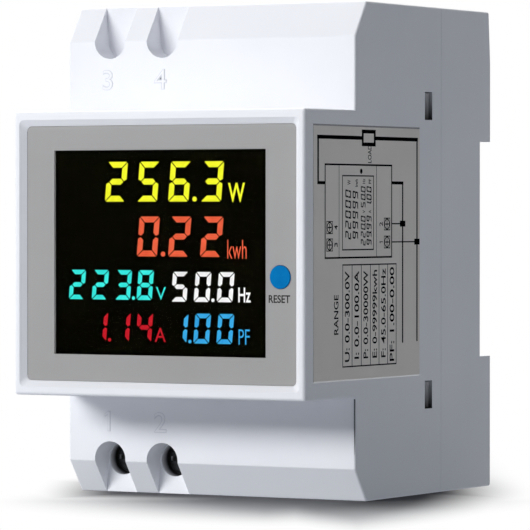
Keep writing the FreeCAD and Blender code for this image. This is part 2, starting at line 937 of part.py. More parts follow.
def busbar(x):
    """Brass strip that lies in the cage, bends forward and passes through the main board."""
    low = terminal_height - cage_length / 2 + fit_gap
    top = busbar_tail_z + busbar_thickness
    half = busbar_width / 2
    blade = box(x - half, x + half, busbar_y, wire_front_y, low, top)
    tail_half = busbar_tail_width / 2
    tail = box(
        x - tail_half, x + tail_half, main_board_y - busbar_thickness / 2, wire_front_y,
        busbar_tail_z, top
    )
    return blade.fuse(tail).removeSplitter()


def terminal_carrier():
    """Insulating block with a chamber for each cage, open to the wire hole, slotted for the busbar."""
    block = box(carrier_left, carrier_right, carrier_front_y, carrier_rear_y, carrier_bottom, carrier_top)
    cuts = []
    for x in (terminal_1_x, terminal_2_x):
        half = cage_width / 2 + fit_gap
        cuts.append(box(
            x - half, x + half, carrier_front_y + carrier_wall, carrier_rear_y - carrier_wall,
            carrier_bottom, carrier_top - carrier_end_wall
        ))
        slot_half = busbar_width / 2 + fit_gap
        cuts.append(box(
            x - slot_half, x + slot_half, busbar_y - fit_gap, wire_front_y + fit_gap,
            carrier_bottom, carrier_top
        ))
        cuts.append(rod_along_y(
            x, terminal_height, screw_radius + 2 * fit_gap, carrier_front_y, carrier_front_y + carrier_wall
        ))
    return block.cut(cuts)


def ct_sleeve():
    """Insulating tube through the housing, with a collar behind each end wall."""
    tube = rod_along_z(
        conductor_x, conductor_y, sleeve_radius, sleeve_end_inset, overall_height - sleeve_end_inset
    )
    collar = rod_along_z(
        conductor_x, conductor_y, sleeve_radius + sleeve_collar, cover_wall + fit_gap,
        cover_wall + fit_gap + sleeve_wall
    )
    bore = rod_along_z(conductor_x, conductor_y, conductor_radius, 0, overall_height)
    return tube.fuse(at_both_ends(collar)).cut(bore)


def ring(inner, outer, height):
    z0 = winding_z - height / 2
    z1 = winding_z + height / 2
    disc = rod_along_z(conductor_x, conductor_y, outer, z0, z1)
    return disc.cut(rod_along_z(conductor_x, conductor_y, inner, z0, z1))


def ct_core():
    return ring(core_inner, core_outer, core_height)


def ct_winding():
    body = ring(winding_bore, winding_radius, winding_height)
    rims = [edge for edge in body.Edges if not same(edge.BoundBox.ZLength, winding_height)]
    return body.makeChamfer(winding_build / 2, rims).cut(ct_core())


def ct_leads():
    """Two insulated wires from the top of the winding to the back of the main board."""
    start_z = winding_z + winding_height / 2
    start_y = conductor_y - (core_inner + core_outer) / 2
    bend_z = start_z + lead_rise
    diagonal = lead_bend * math.sqrt(0.5)
    leads = []
    for side in (-1, 1):
        x = conductor_x + side * lead_spacing / 2
        foot = Vector(x, start_y, start_z)
        rise = Vector(x, start_y, bend_z)
        middle = Vector(x, start_y - lead_bend + diagonal, bend_z + diagonal)
        turned = Vector(x, start_y - lead_bend, bend_z + lead_bend)
        end = Vector(x, main_board_rear_y, bend_z + lead_bend)
        path = Part.Wire([
            Part.LineSegment(foot, rise).toShape(),
            Part.Arc(rise, middle, turned).toShape(),
            Part.LineSegment(turned, end).toShape(),
        ])
        section = Part.Wire(Part.makeCircle(lead_radius, foot, Vector(0, 0, 1)))
        leads.append(path.makePipeShell([section], True, False))
    return Part.makeCompound(leads)


def rail_clip():
    """Slider with retaining flanges, a nose for the rail, a spring pocket and a screwdriver eye."""
    half = clip_width / 2
    body = box(-half, half, clip_front_y, clip_rear_y, clip_lift, clip_top)
    flange_half = half + clip_flange
    flange_low = clip_lift + clip_eye_height + 2 * clip_eye_wall
    flange_top = clip_top - channel_roof
    flange = box(-flange_half, flange_half, clip_front_y, clip_flange_rear_y, flange_low, flange_top)
    nose_top = slot_bottom + clip_nose
    nose = prism_along_x(
        [
            (clip_nose_y, clip_top - clip_eye_wall),
            (clip_nose_y, nose_top),
            (clip_rear_y - clip_nose_slope, nose_top),
            (clip_rear_y, nose_top - clip_nose_slope),
            (clip_rear_y, clip_top - clip_eye_wall),
        ],
        -half, half
    )
    pocket_half = clip_pocket_half_width
    spring_pocket = box(
        -pocket_half, pocket_half, clip_front_y, clip_rear_y - clip_rear_skin,
        clip_pocket_bottom, clip_pocket_top
    )
    eye_low = clip_lift + clip_eye_wall
    eye = box(
        -clip_eye_width / 2, clip_eye_width / 2, clip_front_y, clip_rear_y, eye_low, eye_low + clip_eye_height
    )
    return body.fuse([flange, nose]).cut([spring_pocket, eye])


def arc_from_tangent(start, apex, end):
    """Arc from start to end whose end tangents meet at apex."""
    middle = (start + end) * 0.5
    height = apex - middle
    half_chord = (end - start).Length / 2
    angle = math.atan2(height.Length, half_chord)
    top = middle + height.normalize() * (half_chord * math.tan(angle / 2))
    return Part.Arc(start, top, end).toShape()


def biarc(start, start_way, end, end_way):
    """Two arcs that meet smoothly, from start to end along the given unit tangents."""
    chord = end - start
    both = start_way + end_way
    spread = 2 * (1 - start_way.dot(end_way))
    along = chord.dot(both)
    reach = (math.sqrt(along * along + spread * chord.dot(chord)) - along) / spread
    first_apex = start + start_way * reach
    second_apex = end - end_way * reach
    meeting = (first_apex + second_apex) * 0.5
    return [arc_from_tangent(start, first_apex, meeting), arc_from_tangent(meeting, second_apex, end)]


def clip_spring():
    """Coil spring as one tube that follows quarter-turn biarcs of a helix."""
    bottom = peg_top + touch_gap + spring_wire
    rise = (spring_length - 2 * spring_wire) / spring_coils
    quarters = 4 * spring_coils
    slope = math.atan2(rise, 2 * math.pi * spring_radius)

    def point(index):
        angle = index * math.pi / 2
        height = bottom + rise * index / 4
        return Vector(spring_radius * math.cos(angle), spring_y + spring_radius * math.sin(angle), height)

    def way(index):
        angle = index * math.pi / 2
        flat = math.cos(slope)
        return Vector(-math.sin(angle) * flat, math.cos(angle) * flat, math.sin(slope))

    edges = []
    for index in range(quarters):
        edges += biarc(point(index), way(index), point(index + 1), way(index + 1))
    section = Part.Wire(Part.makeCircle(spring_wire, point(0), way(0)))
    return Part.Wire(edges).makePipeShell([section], True, False)


def side_label():
    sheet = label_bed(label_recess, label_thickness + label_sink)
    over = label_bed(label_recess - label_thickness, label_sink)
    return sheet.cut(over)


def film_capacitor():
    width, height, thickness = film_capacitor_size
    x0 = -display_board_half_width + header_inset + header_strip
    z0 = display_board_bottom + header_strip
    y1 = main_board_y - component_lift
    body = box(x0, x0 + width, y1 - height, y1, z0, z0 + thickness)

    def not_on_foot(a, b):
        return min(a.y, b.y) < y1 - component_lift

    body = round_edges(body, film_capacitor_round, not_on_foot)
    leads = []
    for x in (x0 + width / 8, x0 + width * 7 / 8):
        leads.append(rod_along_y(x, z0 + thickness / 2, lead_wire, y1, main_board_y))
    return body.fuse(leads)


def filter_capacitors():
    """Two upright aluminium cans with a grooved neck and a crossed vent."""
    cans = []
    y1 = main_board_y - component_lift
    z = (display_board_bottom + display_board_top) / 2
    x = -display_board_half_width + header_inset + header_strip + can_radius
    for index in range(2):
        can_x = x + index * can_spacing
        can = rod_along_y(can_x, z, can_radius, y1 - can_height, y1)
        neck = rod_along_y(can_x, z, can_radius, y1 - can_height / 6, y1 - can_height / 12)
        neck = neck.cut(rod_along_y(can_x, z, can_radius - can_vent_depth, y1 - can_height, y1))
        half = can_vent_depth / 2
        reach = can_radius / 2
        top = y1 - can_height
        vents = [
            box(can_x - reach, can_x + reach, top, top + can_vent_depth, z - half, z + half),
            box(can_x - half, can_x + half, top, top + can_vent_depth, z - reach, z + reach),
        ]
        leads = []
        for side in (-1, 1):
            leads.append(rod_along_y(can_x + side * can_radius / 3, z, lead_wire, y1, main_board_y))
        cans.append(can.cut([neck] + vents).fuse(leads))
    return Part.makeCompound(cans)


def varistor():
    y = main_board_y - 2 * component_lift - varistor_radius
    half = varistor_thickness / 2
    disc = rod_along_x(y, varistor_z, varistor_radius, varistor_x - half, varistor_x + half)
    disc = disc.makeChamfer(varistor_thickness / 4, disc.Edges[:1] + disc.Edges[2:])
    leads = []
    for side in (-1, 1):
        lead_z = varistor_z + side * varistor_radius / 2
        leads.append(rod_along_y(varistor_x, lead_z, lead_wire, y, main_board_y))
    return disc.fuse(leads)


def fuse_resistor():
    """Axial resistor with bevelled end caps and leads bent down to the board."""
    x0 = button_x - 3 * fuse_radius - fuse_length
    z = display_board_top - 3 * fuse_radius
    y = main_board_y - component_lift - fuse_radius
    body = rod_along_x(y, z, fuse_radius, x0, x0 + fuse_length)
    body = body.makeChamfer(fuse_radius / 4, [body.Edges[0], body.Edges[2]])
    parts = []
    for side_x, start, end in (
        (x0 - fuse_radius, x0 - fuse_radius, x0),
        (x0 + fuse_length + fuse_radius, x0 + fuse_length, x0 + fuse_length + fuse_radius),
    ):
        parts.append(rod_along_x(y, z, lead_wire, start, end))
        parts.append(rod_along_y(side_x, z, lead_wire, y, main_board_y))
    return body.fuse(parts)


def chip(x, z, size, face_y, way, legs):
    """Flat package that stands off a board face, with legs along its two long sides."""
    width, thickness, length = size
    near = face_y + way * chip_leg / 2
    far = near + way * thickness
    body = box(x - width / 2, x + width / 2, min(near, far), max(near, far), z - length / 2, z + length / 2)
    pitch = (width - chip_leg) / legs
    feet = []
    for index in range(legs):
        leg_x = x - pitch * (legs - 1) / 2 + index * pitch
        for side in (-1, 1):
            inner = z + side * (length / 2 - chip_leg)
            outer = z + side * (length / 2 + chip_leg_reach)
            foot_end = face_y + way * (chip_leg / 2 + thickness / 2)
            feet.append(box(
                leg_x - chip_leg / 2, leg_x + chip_leg / 2,
                min(face_y, foot_end), max(face_y, foot_end),
                min(z + side * length / 2, outer), max(z + side * length / 2, outer)
            ).cut(box(
                leg_x - chip_leg, leg_x + chip_leg,
                min(face_y, foot_end - way * chip_leg), max(face_y, foot_end - way * chip_leg),
                min(inner, outer - side * chip_leg), max(inner, outer - side * chip_leg)
            )))
    return body.fuse(feet)


def bridge_rectifier():
    return chip(rectifier_x, varistor_z, rectifier_size, main_board_y, -1, rectifier_legs)


def metering_chip():
    x = main_board_half_width - metering_chip_size[0]
    z = display_board_top - 2 * metering_chip_size[2]
    return chip(x, z, metering_chip_size, main_board_y, -1, metering_chip_legs)


def microcontroller():
    z = (display_board_bottom + display_board_top) / 2
    return chip(0, z, microcontroller_size, display_board_rear_y, 1, microcontroller_legs)


def board_screw(x, z, face_y, shank, head, bite):
    """Pan-head screw driven forward through a board into its post."""
    body = rod_along_y(x, z, shank, face_y - board_thickness - bite + touch_gap, face_y)
    cap = rod_along_y(x, z, head, face_y, face_y + screw_head_height)
    cap = cap.makeChamfer(screw_head_height / 4, [cap.Edges[0]])
    half = shank / 4
    slot = box(
        x - head, x + head, face_y + screw_head_height / 2, face_y + screw_head_height, z - half, z + half
    )
    return body.fuse(cap).cut(slot)


def main_board_screws():
    screws = []
    for x, z in post_places():
        screw = board_screw(x, z, main_board_rear_y, screw_shank, screw_head, screw_bite)
        screws += at_both_ends(screw)
    return Part.makeCompound(screws)


def display_board_screws():
    screws = []
    for x, z in corner_places():
        screws.append(board_screw(
            x, z, display_board_rear_y, small_screw_shank, small_screw_head, small_screw_bite
        ))
    return Part.makeCompound(screws)


def terminal_pieces():
    """Screws, cages and busbars of the two terminals at the lower end."""
    makers = {"terminal_screw": terminal_screw, "terminal_cage": terminal_cage, "busbar": busbar}
    pieces = {}
    for index, x in enumerate((terminal_1_x, terminal_2_x)):
        for name, make in makers.items():
            pieces[f"{name}_{index + 1}"] = make(x)
    return pieces


def all_pieces():
    pieces = {
        "front_cover": front_cover(),
        "rear_base": rear_base(),
        "front_overlay": front_overlay(),
        "display_window": display_window(),
        "lcd_glass": lcd_glass(),
        "lcd_backlight": lcd_backlight(),
        "lcd_pins": lcd_pins(),
        "display_board": display_board(),
        "main_board": main_board(),
        "board_header": board_header(),
        "reset_button": reset_button(),
        "tact_switch": tact_switch(),
        "switch_plunger": switch_plunger(),
        "terminal_carrier": terminal_carrier(),
        "ct_sleeve": ct_sleeve(),
        "ct_core": ct_core(),
        "ct_winding": ct_winding(),
        "ct_leads": ct_leads(),
        "rail_clip": rail_clip(),
        "clip_spring": clip_spring(),
        "side_label": side_label(),
        "film_capacitor": film_capacitor(),
        "filter_capacitors": filter_capacitors(),
        "varistor": varistor(),
        "fuse_resistor": fuse_resistor(),
        "bridge_rectifier": bridge_rectifier(),
        "metering_chip": metering_chip(),
        "microcontroller": microcontroller(),
        "main_board_screws": main_board_screws(),
        "display_board_screws": display_board_screws(),
    }
    pieces.update(terminal_pieces())
    return pieces


os.makedirs("parts", exist_ok=True)
for node, shape in all_pieces().items():
    shape.exportStep(f"parts/{node}.step")
    print(f"{node}: {len(shape.Solids)} solid, {shape.Volume:.1f} mm3, valid {shape.isValid()}")
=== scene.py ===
import math

import bmesh
import bpy
from mathutils import Matrix, Vector


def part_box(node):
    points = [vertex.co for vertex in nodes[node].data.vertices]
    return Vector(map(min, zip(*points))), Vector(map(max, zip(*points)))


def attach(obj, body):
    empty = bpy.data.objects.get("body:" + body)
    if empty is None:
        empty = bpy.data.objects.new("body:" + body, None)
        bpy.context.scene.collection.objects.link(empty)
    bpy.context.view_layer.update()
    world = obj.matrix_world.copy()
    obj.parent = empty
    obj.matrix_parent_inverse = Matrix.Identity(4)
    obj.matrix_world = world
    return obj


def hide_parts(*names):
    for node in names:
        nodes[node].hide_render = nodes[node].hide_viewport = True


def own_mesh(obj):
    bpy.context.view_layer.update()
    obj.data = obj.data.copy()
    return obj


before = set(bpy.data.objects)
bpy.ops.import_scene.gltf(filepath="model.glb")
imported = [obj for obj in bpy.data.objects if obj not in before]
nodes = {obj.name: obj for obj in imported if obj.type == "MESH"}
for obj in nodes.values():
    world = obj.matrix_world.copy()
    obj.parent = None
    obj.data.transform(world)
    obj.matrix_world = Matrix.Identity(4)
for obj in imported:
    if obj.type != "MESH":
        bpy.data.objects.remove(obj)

scene = bpy.context.scene
mm = 0.001
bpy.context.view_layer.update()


def seen(red, green, blue):
    # a colour as it is seen on a screen, 0 to 255, turned into shader values
    def linear(value):
        share = value / 255
        return share / 12.92 if share <= 0.04045 else ((share + 0.055) / 1.055) ** 2.4
    return (linear(red), linear(green), linear(blue), 1)


# small helpers for shader nodes

def emptyTree(owner):
    owner.use_nodes = True
    owner.node_tree.nodes.clear()
    return owner.node_tree


def addNode(tree, kind, settings=None, inputs=None):
    node = tree.nodes.new(kind)
    for name, value in (settings or {}).items():
        setattr(node, name, value)
    for name, value in (inputs or {}).items():
        if isinstance(value, bpy.types.NodeSocket):
            tree.links.new(value, node.inputs[name])
        else:
            node.inputs[name].default_value = value
    return node


def mathNode(tree, operation, first, second=0.5, third=0.0):
    inputs = {0: first, 1: second, 2: third}
    return addNode(tree, "ShaderNodeMath", {"operation": operation}, inputs).outputs[0]


def vectorNode(tree, operation, first, second=(0, 0, 0), result="Vector"):
    inputs = {0: first, 1: second}
    return addNode(tree, "ShaderNodeVectorMath", {"operation": operation}, inputs).outputs[result]


def mixTones(tree, factor, first, second):
    inputs = {0: factor, 6: first, 7: second}
    return addNode(tree, "ShaderNodeMix", {"data_type": "RGBA"}, inputs).outputs[2]


def mixShaders(tree, factor, first, second):
    return addNode(tree, "ShaderNodeMixShader", {}, {0: factor, 1: first, 2: second}).outputs[0]


def spread(tree, value, low, high, outLow=0.0, outHigh=1.0):
    inputs = {"Value": value, "From Min": low, "From Max": high, "To Min": outLow, "To Max": outHigh}
    return addNode(tree, "ShaderNodeMapRange", {}, inputs).outputs[0]


def noise(tree, spot, scale, detail, roughness=0.5):
    inputs = {"Vector": spot, "Scale": scale, "Detail": detail, "Roughness": roughness}
    return addNode(tree, "ShaderNodeTexNoise", {}, inputs).outputs["Fac"]


def place(tree, kind="Object"):
    return addNode(tree, "ShaderNodeTexCoord").outputs[kind]


def axesOf(tree, vector):
    return addNode(tree, "ShaderNodeSeparateXYZ", {}, {0: vector}).outputs


def roughnessOf(tree, given, share):
    # from the smoothest to the roughest of the finish
    width = mathNode(tree, "SUBTRACT", given["Roughest"], given["Smoothest"])
    return mathNode(tree, "MULTIPLY_ADD", share, width, given["Smoothest"])


def newGroup(name, inputs):
    kinds = {float: "NodeSocketFloat", tuple: "NodeSocketColor", Vector: "NodeSocketVector"}
    results = {"Color": "NodeSocketColor", "Roughness": "NodeSocketFloat", "Height": "NodeSocketFloat"}
    tree = bpy.data.node_groups.new(name, "ShaderNodeTree")
    for label, value in inputs.items():
        socket = tree.interface.new_socket(label, in_out="INPUT", socket_type=kinds[type(value)])
        socket.default_value = value
    for label, kind in results.items():
        tree.interface.new_socket(label, in_out="OUTPUT", socket_type=kind)
    return tree, tree.nodes.new("NodeGroupInput").outputs, tree.nodes.new("NodeGroupOutput")


def finishGroup(tree, end, colour, roughness, height):
    for name, socket in (("Color", colour), ("Roughness", roughness), ("Height", height)):
        tree.links.new(socket, end.inputs[name])


def placeGroup(tree, name, inputs):
    return addNode(tree, "ShaderNodeGroup", {"node_tree": bpy.data.node_groups[name]}, inputs).outputs


# effects that several finishes share

def makeMouldedSkin():
    # cloudy tone of moulded plastic under a fine spark-eroded grain
    tree, given, end = newGroup("mouldedSkin", {
        "Tone": (0.8, 0.8, 0.8, 1), "Shade": (0.7, 0.7, 0.7, 1), "Cloud Scale": 60.0, "Grain Scale": 4000.0,
        "Smoothest": 0.4, "Roughest": 0.6,
    })
    spot = place(tree)
    cloud = noise(tree, spot, given["Cloud Scale"], 3.0, 0.55)
    grain = noise(tree, spot, given["Grain Scale"], 2.0, 0.6)
    colour = mixTones(tree, spread(tree, cloud, 0.35, 0.7), given["Tone"], given["Shade"])
    both = mathNode(tree, "MULTIPLY_ADD", cloud, 0.5, mathNode(tree, "MULTIPLY", grain, 0.5))
    finishGroup(tree, end, colour, roughnessOf(tree, given, spread(tree, both, 0.3, 0.7)), grain)


def makeDrawnMetal():
    # streaks left by drawing or brushing, with darker spots of plating
    tree, given, end = newGroup("drawnMetal", {
        "Tone": (0.7, 0.7, 0.7, 1), "Shade": (0.5, 0.5, 0.5, 1), "Stretch": Vector((1, 1, 1)),
        "Streak Scale": 2500.0, "Spot Scale": 500.0, "Smoothest": 0.25, "Roughest": 0.45,
    })
    spot = place(tree)
    streak = noise(tree, vectorNode(tree, "MULTIPLY", spot, given["Stretch"]), given["Streak Scale"], 4.0)
    dull = noise(tree, spot, given["Spot Scale"], 3.0)
    both = mathNode(tree, "MULTIPLY", streak, spread(tree, dull, 0.2, 0.8, 0.6, 1.4))
    colour = mixTones(tree, spread(tree, both, 0.3, 0.75), given["Tone"], given["Shade"])
    finishGroup(tree, end, colour, roughnessOf(tree, given, spread(tree, both, 0.3, 0.7)), streak)


def makeTurnedFace():
    # fine rings round the middle of the piece, as a lathe or a strip winder leaves them
    tree, given, end = newGroup("turnedFace", {
        "Tone": (0.7, 0.7, 0.7, 1), "Shade": (0.5, 0.5, 0.5, 1), "Across": Vector((1, 0, 1)), "Rings": 30.0,
        "Smoothest": 0.2, "Roughest": 0.4,
    })
    spot = place(tree, "Generated")
    flat = vectorNode(tree, "MULTIPLY", vectorNode(tree, "SUBTRACT", spot, (0.5, 0.5, 0.5)), given["Across"])
    away = vectorNode(tree, "LENGTH", flat, result="Value")
    turn = mathNode(tree, "MULTIPLY", mathNode(tree, "MULTIPLY", away, given["Rings"]), 2 * math.pi)
    wave = spread(tree, mathNode(tree, "SINE", turn), -1.0, 1.0)
    cloud = mathNode(tree, "MULTIPLY", noise(tree, spot, 9.0, 4.0), 0.6)
    both = mathNode(tree, "MULTIPLY_ADD", wave, 0.45, cloud)
    colour = mixTones(tree, both, given["Tone"], given["Shade"])
    finishGroup(tree, end, colour, roughnessOf(tree, given, both), wave)


def makeWoundTurns():
    # enamelled wire laid side by side round a ring core that stands on the Z axis
    tree, given, end = newGroup("woundTurns", {
        "Tone": (0.7, 0.4, 0.2, 1), "Shade": (0.4, 0.2, 0.1, 1), "Turns": 150.0,
        "Smoothest": 0.2, "Roughest": 0.35,
    })
    spot = place(tree, "Generated")
    axes = axesOf(tree, vectorNode(tree, "SUBTRACT", spot, (0.5, 0.5, 0.5)))
    angle = mathNode(tree, "ARCTAN2", axes["Y"], axes["X"])
    wobble = noise(tree, spot, 5.0, 2.0)
    phase = mathNode(tree, "MULTIPLY_ADD", angle, given["Turns"], mathNode(tree, "MULTIPLY", wobble, 9.0))
    wire = mathNode(tree, "ABSOLUTE", mathNode(tree, "SINE", phase))
    colour = mixTones(tree, spread(tree, wire, 0.1, 0.7), given["Shade"], given["Tone"])
    finishGroup(tree, end, colour, roughnessOf(tree, given, wobble), wire)


def makeLacqueredBoard():
    # copper tracks that show through solder lacquer on a glass weave
    tree, given, end = newGroup("lacqueredBoard", {
        "Tone": (0.03, 0.25, 0.1, 1), "Track Tone": (0.06, 0.35, 0.15, 1), "Track Scale": 110.0,
        "Weave Scale": 5200.0, "Smoothest": 0.25, "Roughest": 0.4,
    })
    spot = place(tree)
    axes = axesOf(tree, spot)
    face = addNode(tree, "ShaderNodeCombineXYZ", {}, {"X": axes["X"], "Y": axes["Z"]}).outputs[0]
    tracks = addNode(tree, "ShaderNodeTexBrick", {"offset": 0.37, "squash": 0.6, "squash_frequency": 3}, {
        "Vector": face, "Scale": given["Track Scale"], "Mortar Size": 0.035, "Mortar Smooth": 0.3,
        "Brick Width": 0.9, "Row Height": 0.28}).outputs["Fac"]
    warp, weft = (mathNode(tree, "SINE", mathNode(tree, "MULTIPLY", axes[axis], given["Weave Scale"]))
                  for axis in "XZ")
    weave = spread(tree, mathNode(tree, "MULTIPLY", warp, weft), -1.0, 1.0, 0.0, 0.25)
    shown = mathNode(tree, "MULTIPLY_ADD", weave, 0.4, mathNode(tree, "MULTIPLY", tracks, 0.9))
    colour = mixTones(tree, shown, given["Tone"], given["Track Tone"])
    height = mathNode(tree, "ADD", mathNode(tree, "MULTIPLY", weave, 0.4), tracks)
    finishGroup(tree, end, colour, roughnessOf(tree, given, noise(tree, spot, 90.0, 3.0)), height)


def makeOutsideBox():
    # 1 where a piece reaches past the moulded body it carries, as its legs and pins do
    tree, given, end = newGroup("outsideBox", {"Middle": Vector((0, 0, 0)), "Half": Vector((1, 1, 1))})
    far = vectorNode(tree, "ABSOLUTE", vectorNode(tree, "SUBTRACT", place(tree), given["Middle"]))
    axes = axesOf(tree, vectorNode(tree, "SUBTRACT", far, given["Half"]))
    most = mathNode(tree, "MAXIMUM", mathNode(tree, "MAXIMUM", axes["X"], axes["Y"]), axes["Z"])
    mask = mathNode(tree, "GREATER_THAN", most, 0.00001)
    finishGroup(tree, end, mask, mask, mask)


def makePaintedDepthShade():
    # painted shade mask: 1 deep in a hollow, inside the given box, rising from start to end along the axis
    tree, given, end = newGroup("paintedDepthShade", {
        "Middle": Vector((0, 0, 0)), "Half": Vector((1, 1, 1)), "Axis": Vector((0, 0, 1)),
        "Start": 0.0, "End": 1.0,
    })
    outside = placeGroup(tree, "outsideBox", {"Middle": given["Middle"], "Half": given["Half"]})
    along = vectorNode(tree, "DOT_PRODUCT", place(tree), given["Axis"], "Value")
    inside = mathNode(tree, "SUBTRACT", 1.0, outside["Roughness"])
    mask = mathNode(tree, "MULTIPLY", inside, spread(tree, along, given["Start"], given["End"]))
    finishGroup(tree, end, mask, mask, mask)


makeMouldedSkin()
makeDrawnMetal()
makeTurnedFace()
makeWoundTurns()
makeLacqueredBoard()
makeOutsideBox()
makePaintedDepthShade()
print("shared effects ready")


def boxInputs(low, high):
    return {"Middle": (low + high) / 2, "Half": (high - low) / 2}


def makeMaterial(name, look):
    # one material: its pattern group, the shader's own values and the depth of its relief
    material = bpy.data.materials.new(name)
    tree = emptyTree(material)
    shader = addNode(tree, "ShaderNodeBsdfPrincipled", {}, look.get("shader", {}))
    addNode(tree, "ShaderNodeOutputMaterial", {}, {"Surface": shader.outputs["BSDF"]})
    pattern = placeGroup(tree, look["group"], look["pattern"])
    colour, roughness = pattern["Color"], pattern["Roughness"]
    # painted shade: the colour darkens towards the deep end of each listed hollow
    for low, high, axis, start, stop in look.get("paintedShadeAreas", ()):
        mask = placeGroup(tree, "paintedDepthShade", {
            **boxInputs(Vector(low) * mm, Vector(high) * mm), "Axis": axis, "Start": start * mm,
            "End": stop * mm})["Roughness"]
        colour = mixTones(tree, mask, colour, paintedShadeTone)
    if "legs" in look:
        mask = placeGroup(tree, "outsideBox", boxInputs(*look["legs"]))["Roughness"]
        tin = placeGroup(tree, tinnedPin["group"], tinnedPin["pattern"])
        colour = mixTones(tree, mask, colour, tin["Color"])
        roughness = addNode(tree, "ShaderNodeMix", {}, {
            0: mask, 2: roughness, 3: tin["Roughness"]}).outputs[0]
        tree.links.new(mask, shader.inputs["Metallic"])
    tree.links.new(colour, shader.inputs["Emission Color" if look.get("lit") else "Base Color"])
    tree.links.new(roughness, shader.inputs["Roughness"])
    strength, depth = look.get("relief", (0.2, 0.00002))
    bump = addNode(tree, "ShaderNodeBump", {}, {
        "Strength": strength, "Distance": depth, "Height": pattern["Height"]})
    tree.links.new(bump.outputs["Normal"], shader.inputs["Normal"])
    return material


# finishes of the parts

tinnedPin = {
    "group": "drawnMetal",
    "pattern": {"Tone": seen(205, 205, 202), "Shade": seen(160, 160, 158), "Streak Scale": 3000.0},
    "shader": {"Metallic": 1.0},
}

# painted shade in the hollows, in millimetres: screw wells darken rearward and side windows downward, from
# light to dark
paintedShadeTone = seen(9, 9, 11)
wellShade = {"screws": ("terminal_screw_1", "terminal_screw_2"), "reach": 2.8, "front": -11.08, "rear": -8.5,
         "light": -11.2, "dark": -9.3}
windowShade = {"bottoms": (14.01, 61.41), "tall": 4.58, "front": 8.26, "rear": 10.84, "out": 30.0,
           "light": 7.59, "dark": 0.29}


def paintedShadeBoxes():
    boxes = []
    for screw in wellShade["screws"]:
        middle = sum(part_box(screw), Vector()) / 2 / mm
        x, z, reach = middle.x, middle.z, wellShade["reach"]
        low, high = (x - reach, wellShade["front"], z - reach), (x + reach, wellShade["rear"], z + reach)
        boxes.append((low, high, (0, 1, 0), wellShade["light"], wellShade["dark"]))
    for z in windowShade["bottoms"]:
        low = (-windowShade["out"], windowShade["front"], z)
        high = (windowShade["out"], windowShade["rear"], z + windowShade["tall"])
        boxes.append((low, high, (0, 0, -1), -z - windowShade["light"], -z - windowShade["dark"]))
    return boxes


housingPlastic = {
    "group": "mouldedSkin", "paintedShadeAreas": paintedShadeBoxes(),
    "pattern": {"Tone": seen(246, 247, 251), "Shade": seen(243, 244, 249), "Cloud Scale": 45.0,
                "Grain Scale": 5000.0, "Smoothest": 0.42, "Roughest": 0.55},
    "shader": {"Specular IOR Level": 0.35, "IOR": 1.5},
    "relief": (0.25, 0.000015),
}

faceplateFilm = {
    "group": "mouldedSkin",
    "pattern": {"Tone": seen(166, 165, 164), "Shade": seen(163, 162, 161), "Cloud Scale": 70.0,
                "Grain Scale": 7000.0, "Smoothest": 0.4, "Roughest": 0.55},
    "shader": {"Specular IOR Level": 0.25},
    "relief": (0.2, 0.00001),
}

clearPane = {
    "group": "mouldedSkin",
    "pattern": {"Tone": (1, 1, 1, 1), "Shade": seen(252, 253, 253), "Cloud Scale": 80.0, "Grain Scale": 600.0,
                "Smoothest": 0.0, "Roughest": 0.02},
    "shader": {"Transmission Weight": 1.0, "IOR": 1.04},
    "relief": (0.02, 0.00001),
}

displayBlack = {
    "group": "mouldedSkin",
    "pattern": {"Tone": seen(5, 5, 1), "Shade": seen(3, 3, 0), "Cloud Scale": 120.0, "Grain Scale": 3000.0,
                "Smoothest": 0.15, "Roughest": 0.25},
    "shader": {"Specular IOR Level": 0.0},
    "relief": (0.05, 0.00001),
}

lightGuide = {
    "group": "mouldedSkin",
    "pattern": {"Tone": seen(236, 238, 236), "Shade": seen(220, 224, 224), "Cloud Scale": 200.0,
                "Grain Scale": 900.0, "Smoothest": 0.3, "Roughest": 0.5},
    "shader": {"Subsurface Weight": 0.3, "Subsurface Radius": (0.002, 0.002, 0.002)},
    "relief": (0.5, 0.00004),
}

circuitBoard = {
    "group": "lacqueredBoard",
    "pattern": {"Tone": seen(18, 92, 52), "Track Tone": seen(48, 138, 84)},
    "shader": {"Coat Weight": 0.35, "Coat Roughness": 0.15},
    "relief": (0.4, 0.00005),
}

blackMoulding = {
    "group": "mouldedSkin",
    "pattern": {"Tone": seen(34, 34, 35), "Shade": seen(26, 26, 27), "Cloud Scale": 250.0,
                "Grain Scale": 5000.0, "Smoothest": 0.35, "Roughest": 0.6},
    "relief": (0.3, 0.00002),
}

greyMoulding = {
    "group": "mouldedSkin",
    "pattern": {"Tone": seen(203, 206, 210), "Shade": seen(194, 197, 202), "Cloud Scale": 120.0,
                "Grain Scale": 4500.0, "Smoothest": 0.4, "Roughest": 0.55},
    "relief": (0.3, 0.00002),
}

buttonBlue = {
    "group": "mouldedSkin",
    "pattern": {"Tone": seen(0, 126, 194), "Shade": seen(0, 118, 186), "Cloud Scale": 500.0,
                "Grain Scale": 9000.0, "Smoothest": 0.5, "Roughest": 0.65},
    "shader": {"Specular IOR Level": 0.03},
    "relief": (0.2, 0.00001),
}

coreStrip = {
    "group": "turnedFace",
    "pattern": {"Tone": seen(128, 130, 134), "Shade": seen(74, 76, 80), "Across": Vector((1, 1, 0)),
                "Rings": 60.0, "Smoothest": 0.35, "Roughest": 0.55},
    "shader": {"Metallic": 1.0},
    "relief": (0.4, 0.00004),
}

copperWinding = {
    "group": "woundTurns",
    "pattern": {"Tone": seen(206, 118, 58), "Shade": seen(112, 52, 22), "Turns": 160.0},
    "shader": {"Metallic": 0.6, "Coat Weight": 0.6, "Coat Roughness": 0.15},
    "relief": (0.8, 0.00012),
}

wireCover = {
    "group": "mouldedSkin",
    "pattern": {"Tone": seen(222, 220, 210), "Shade": seen(206, 204, 195), "Cloud Scale": 350.0,
                "Grain Scale": 4000.0, "Smoothest": 0.35, "Roughest": 0.5},
    "relief": (0.3, 0.00002),
}

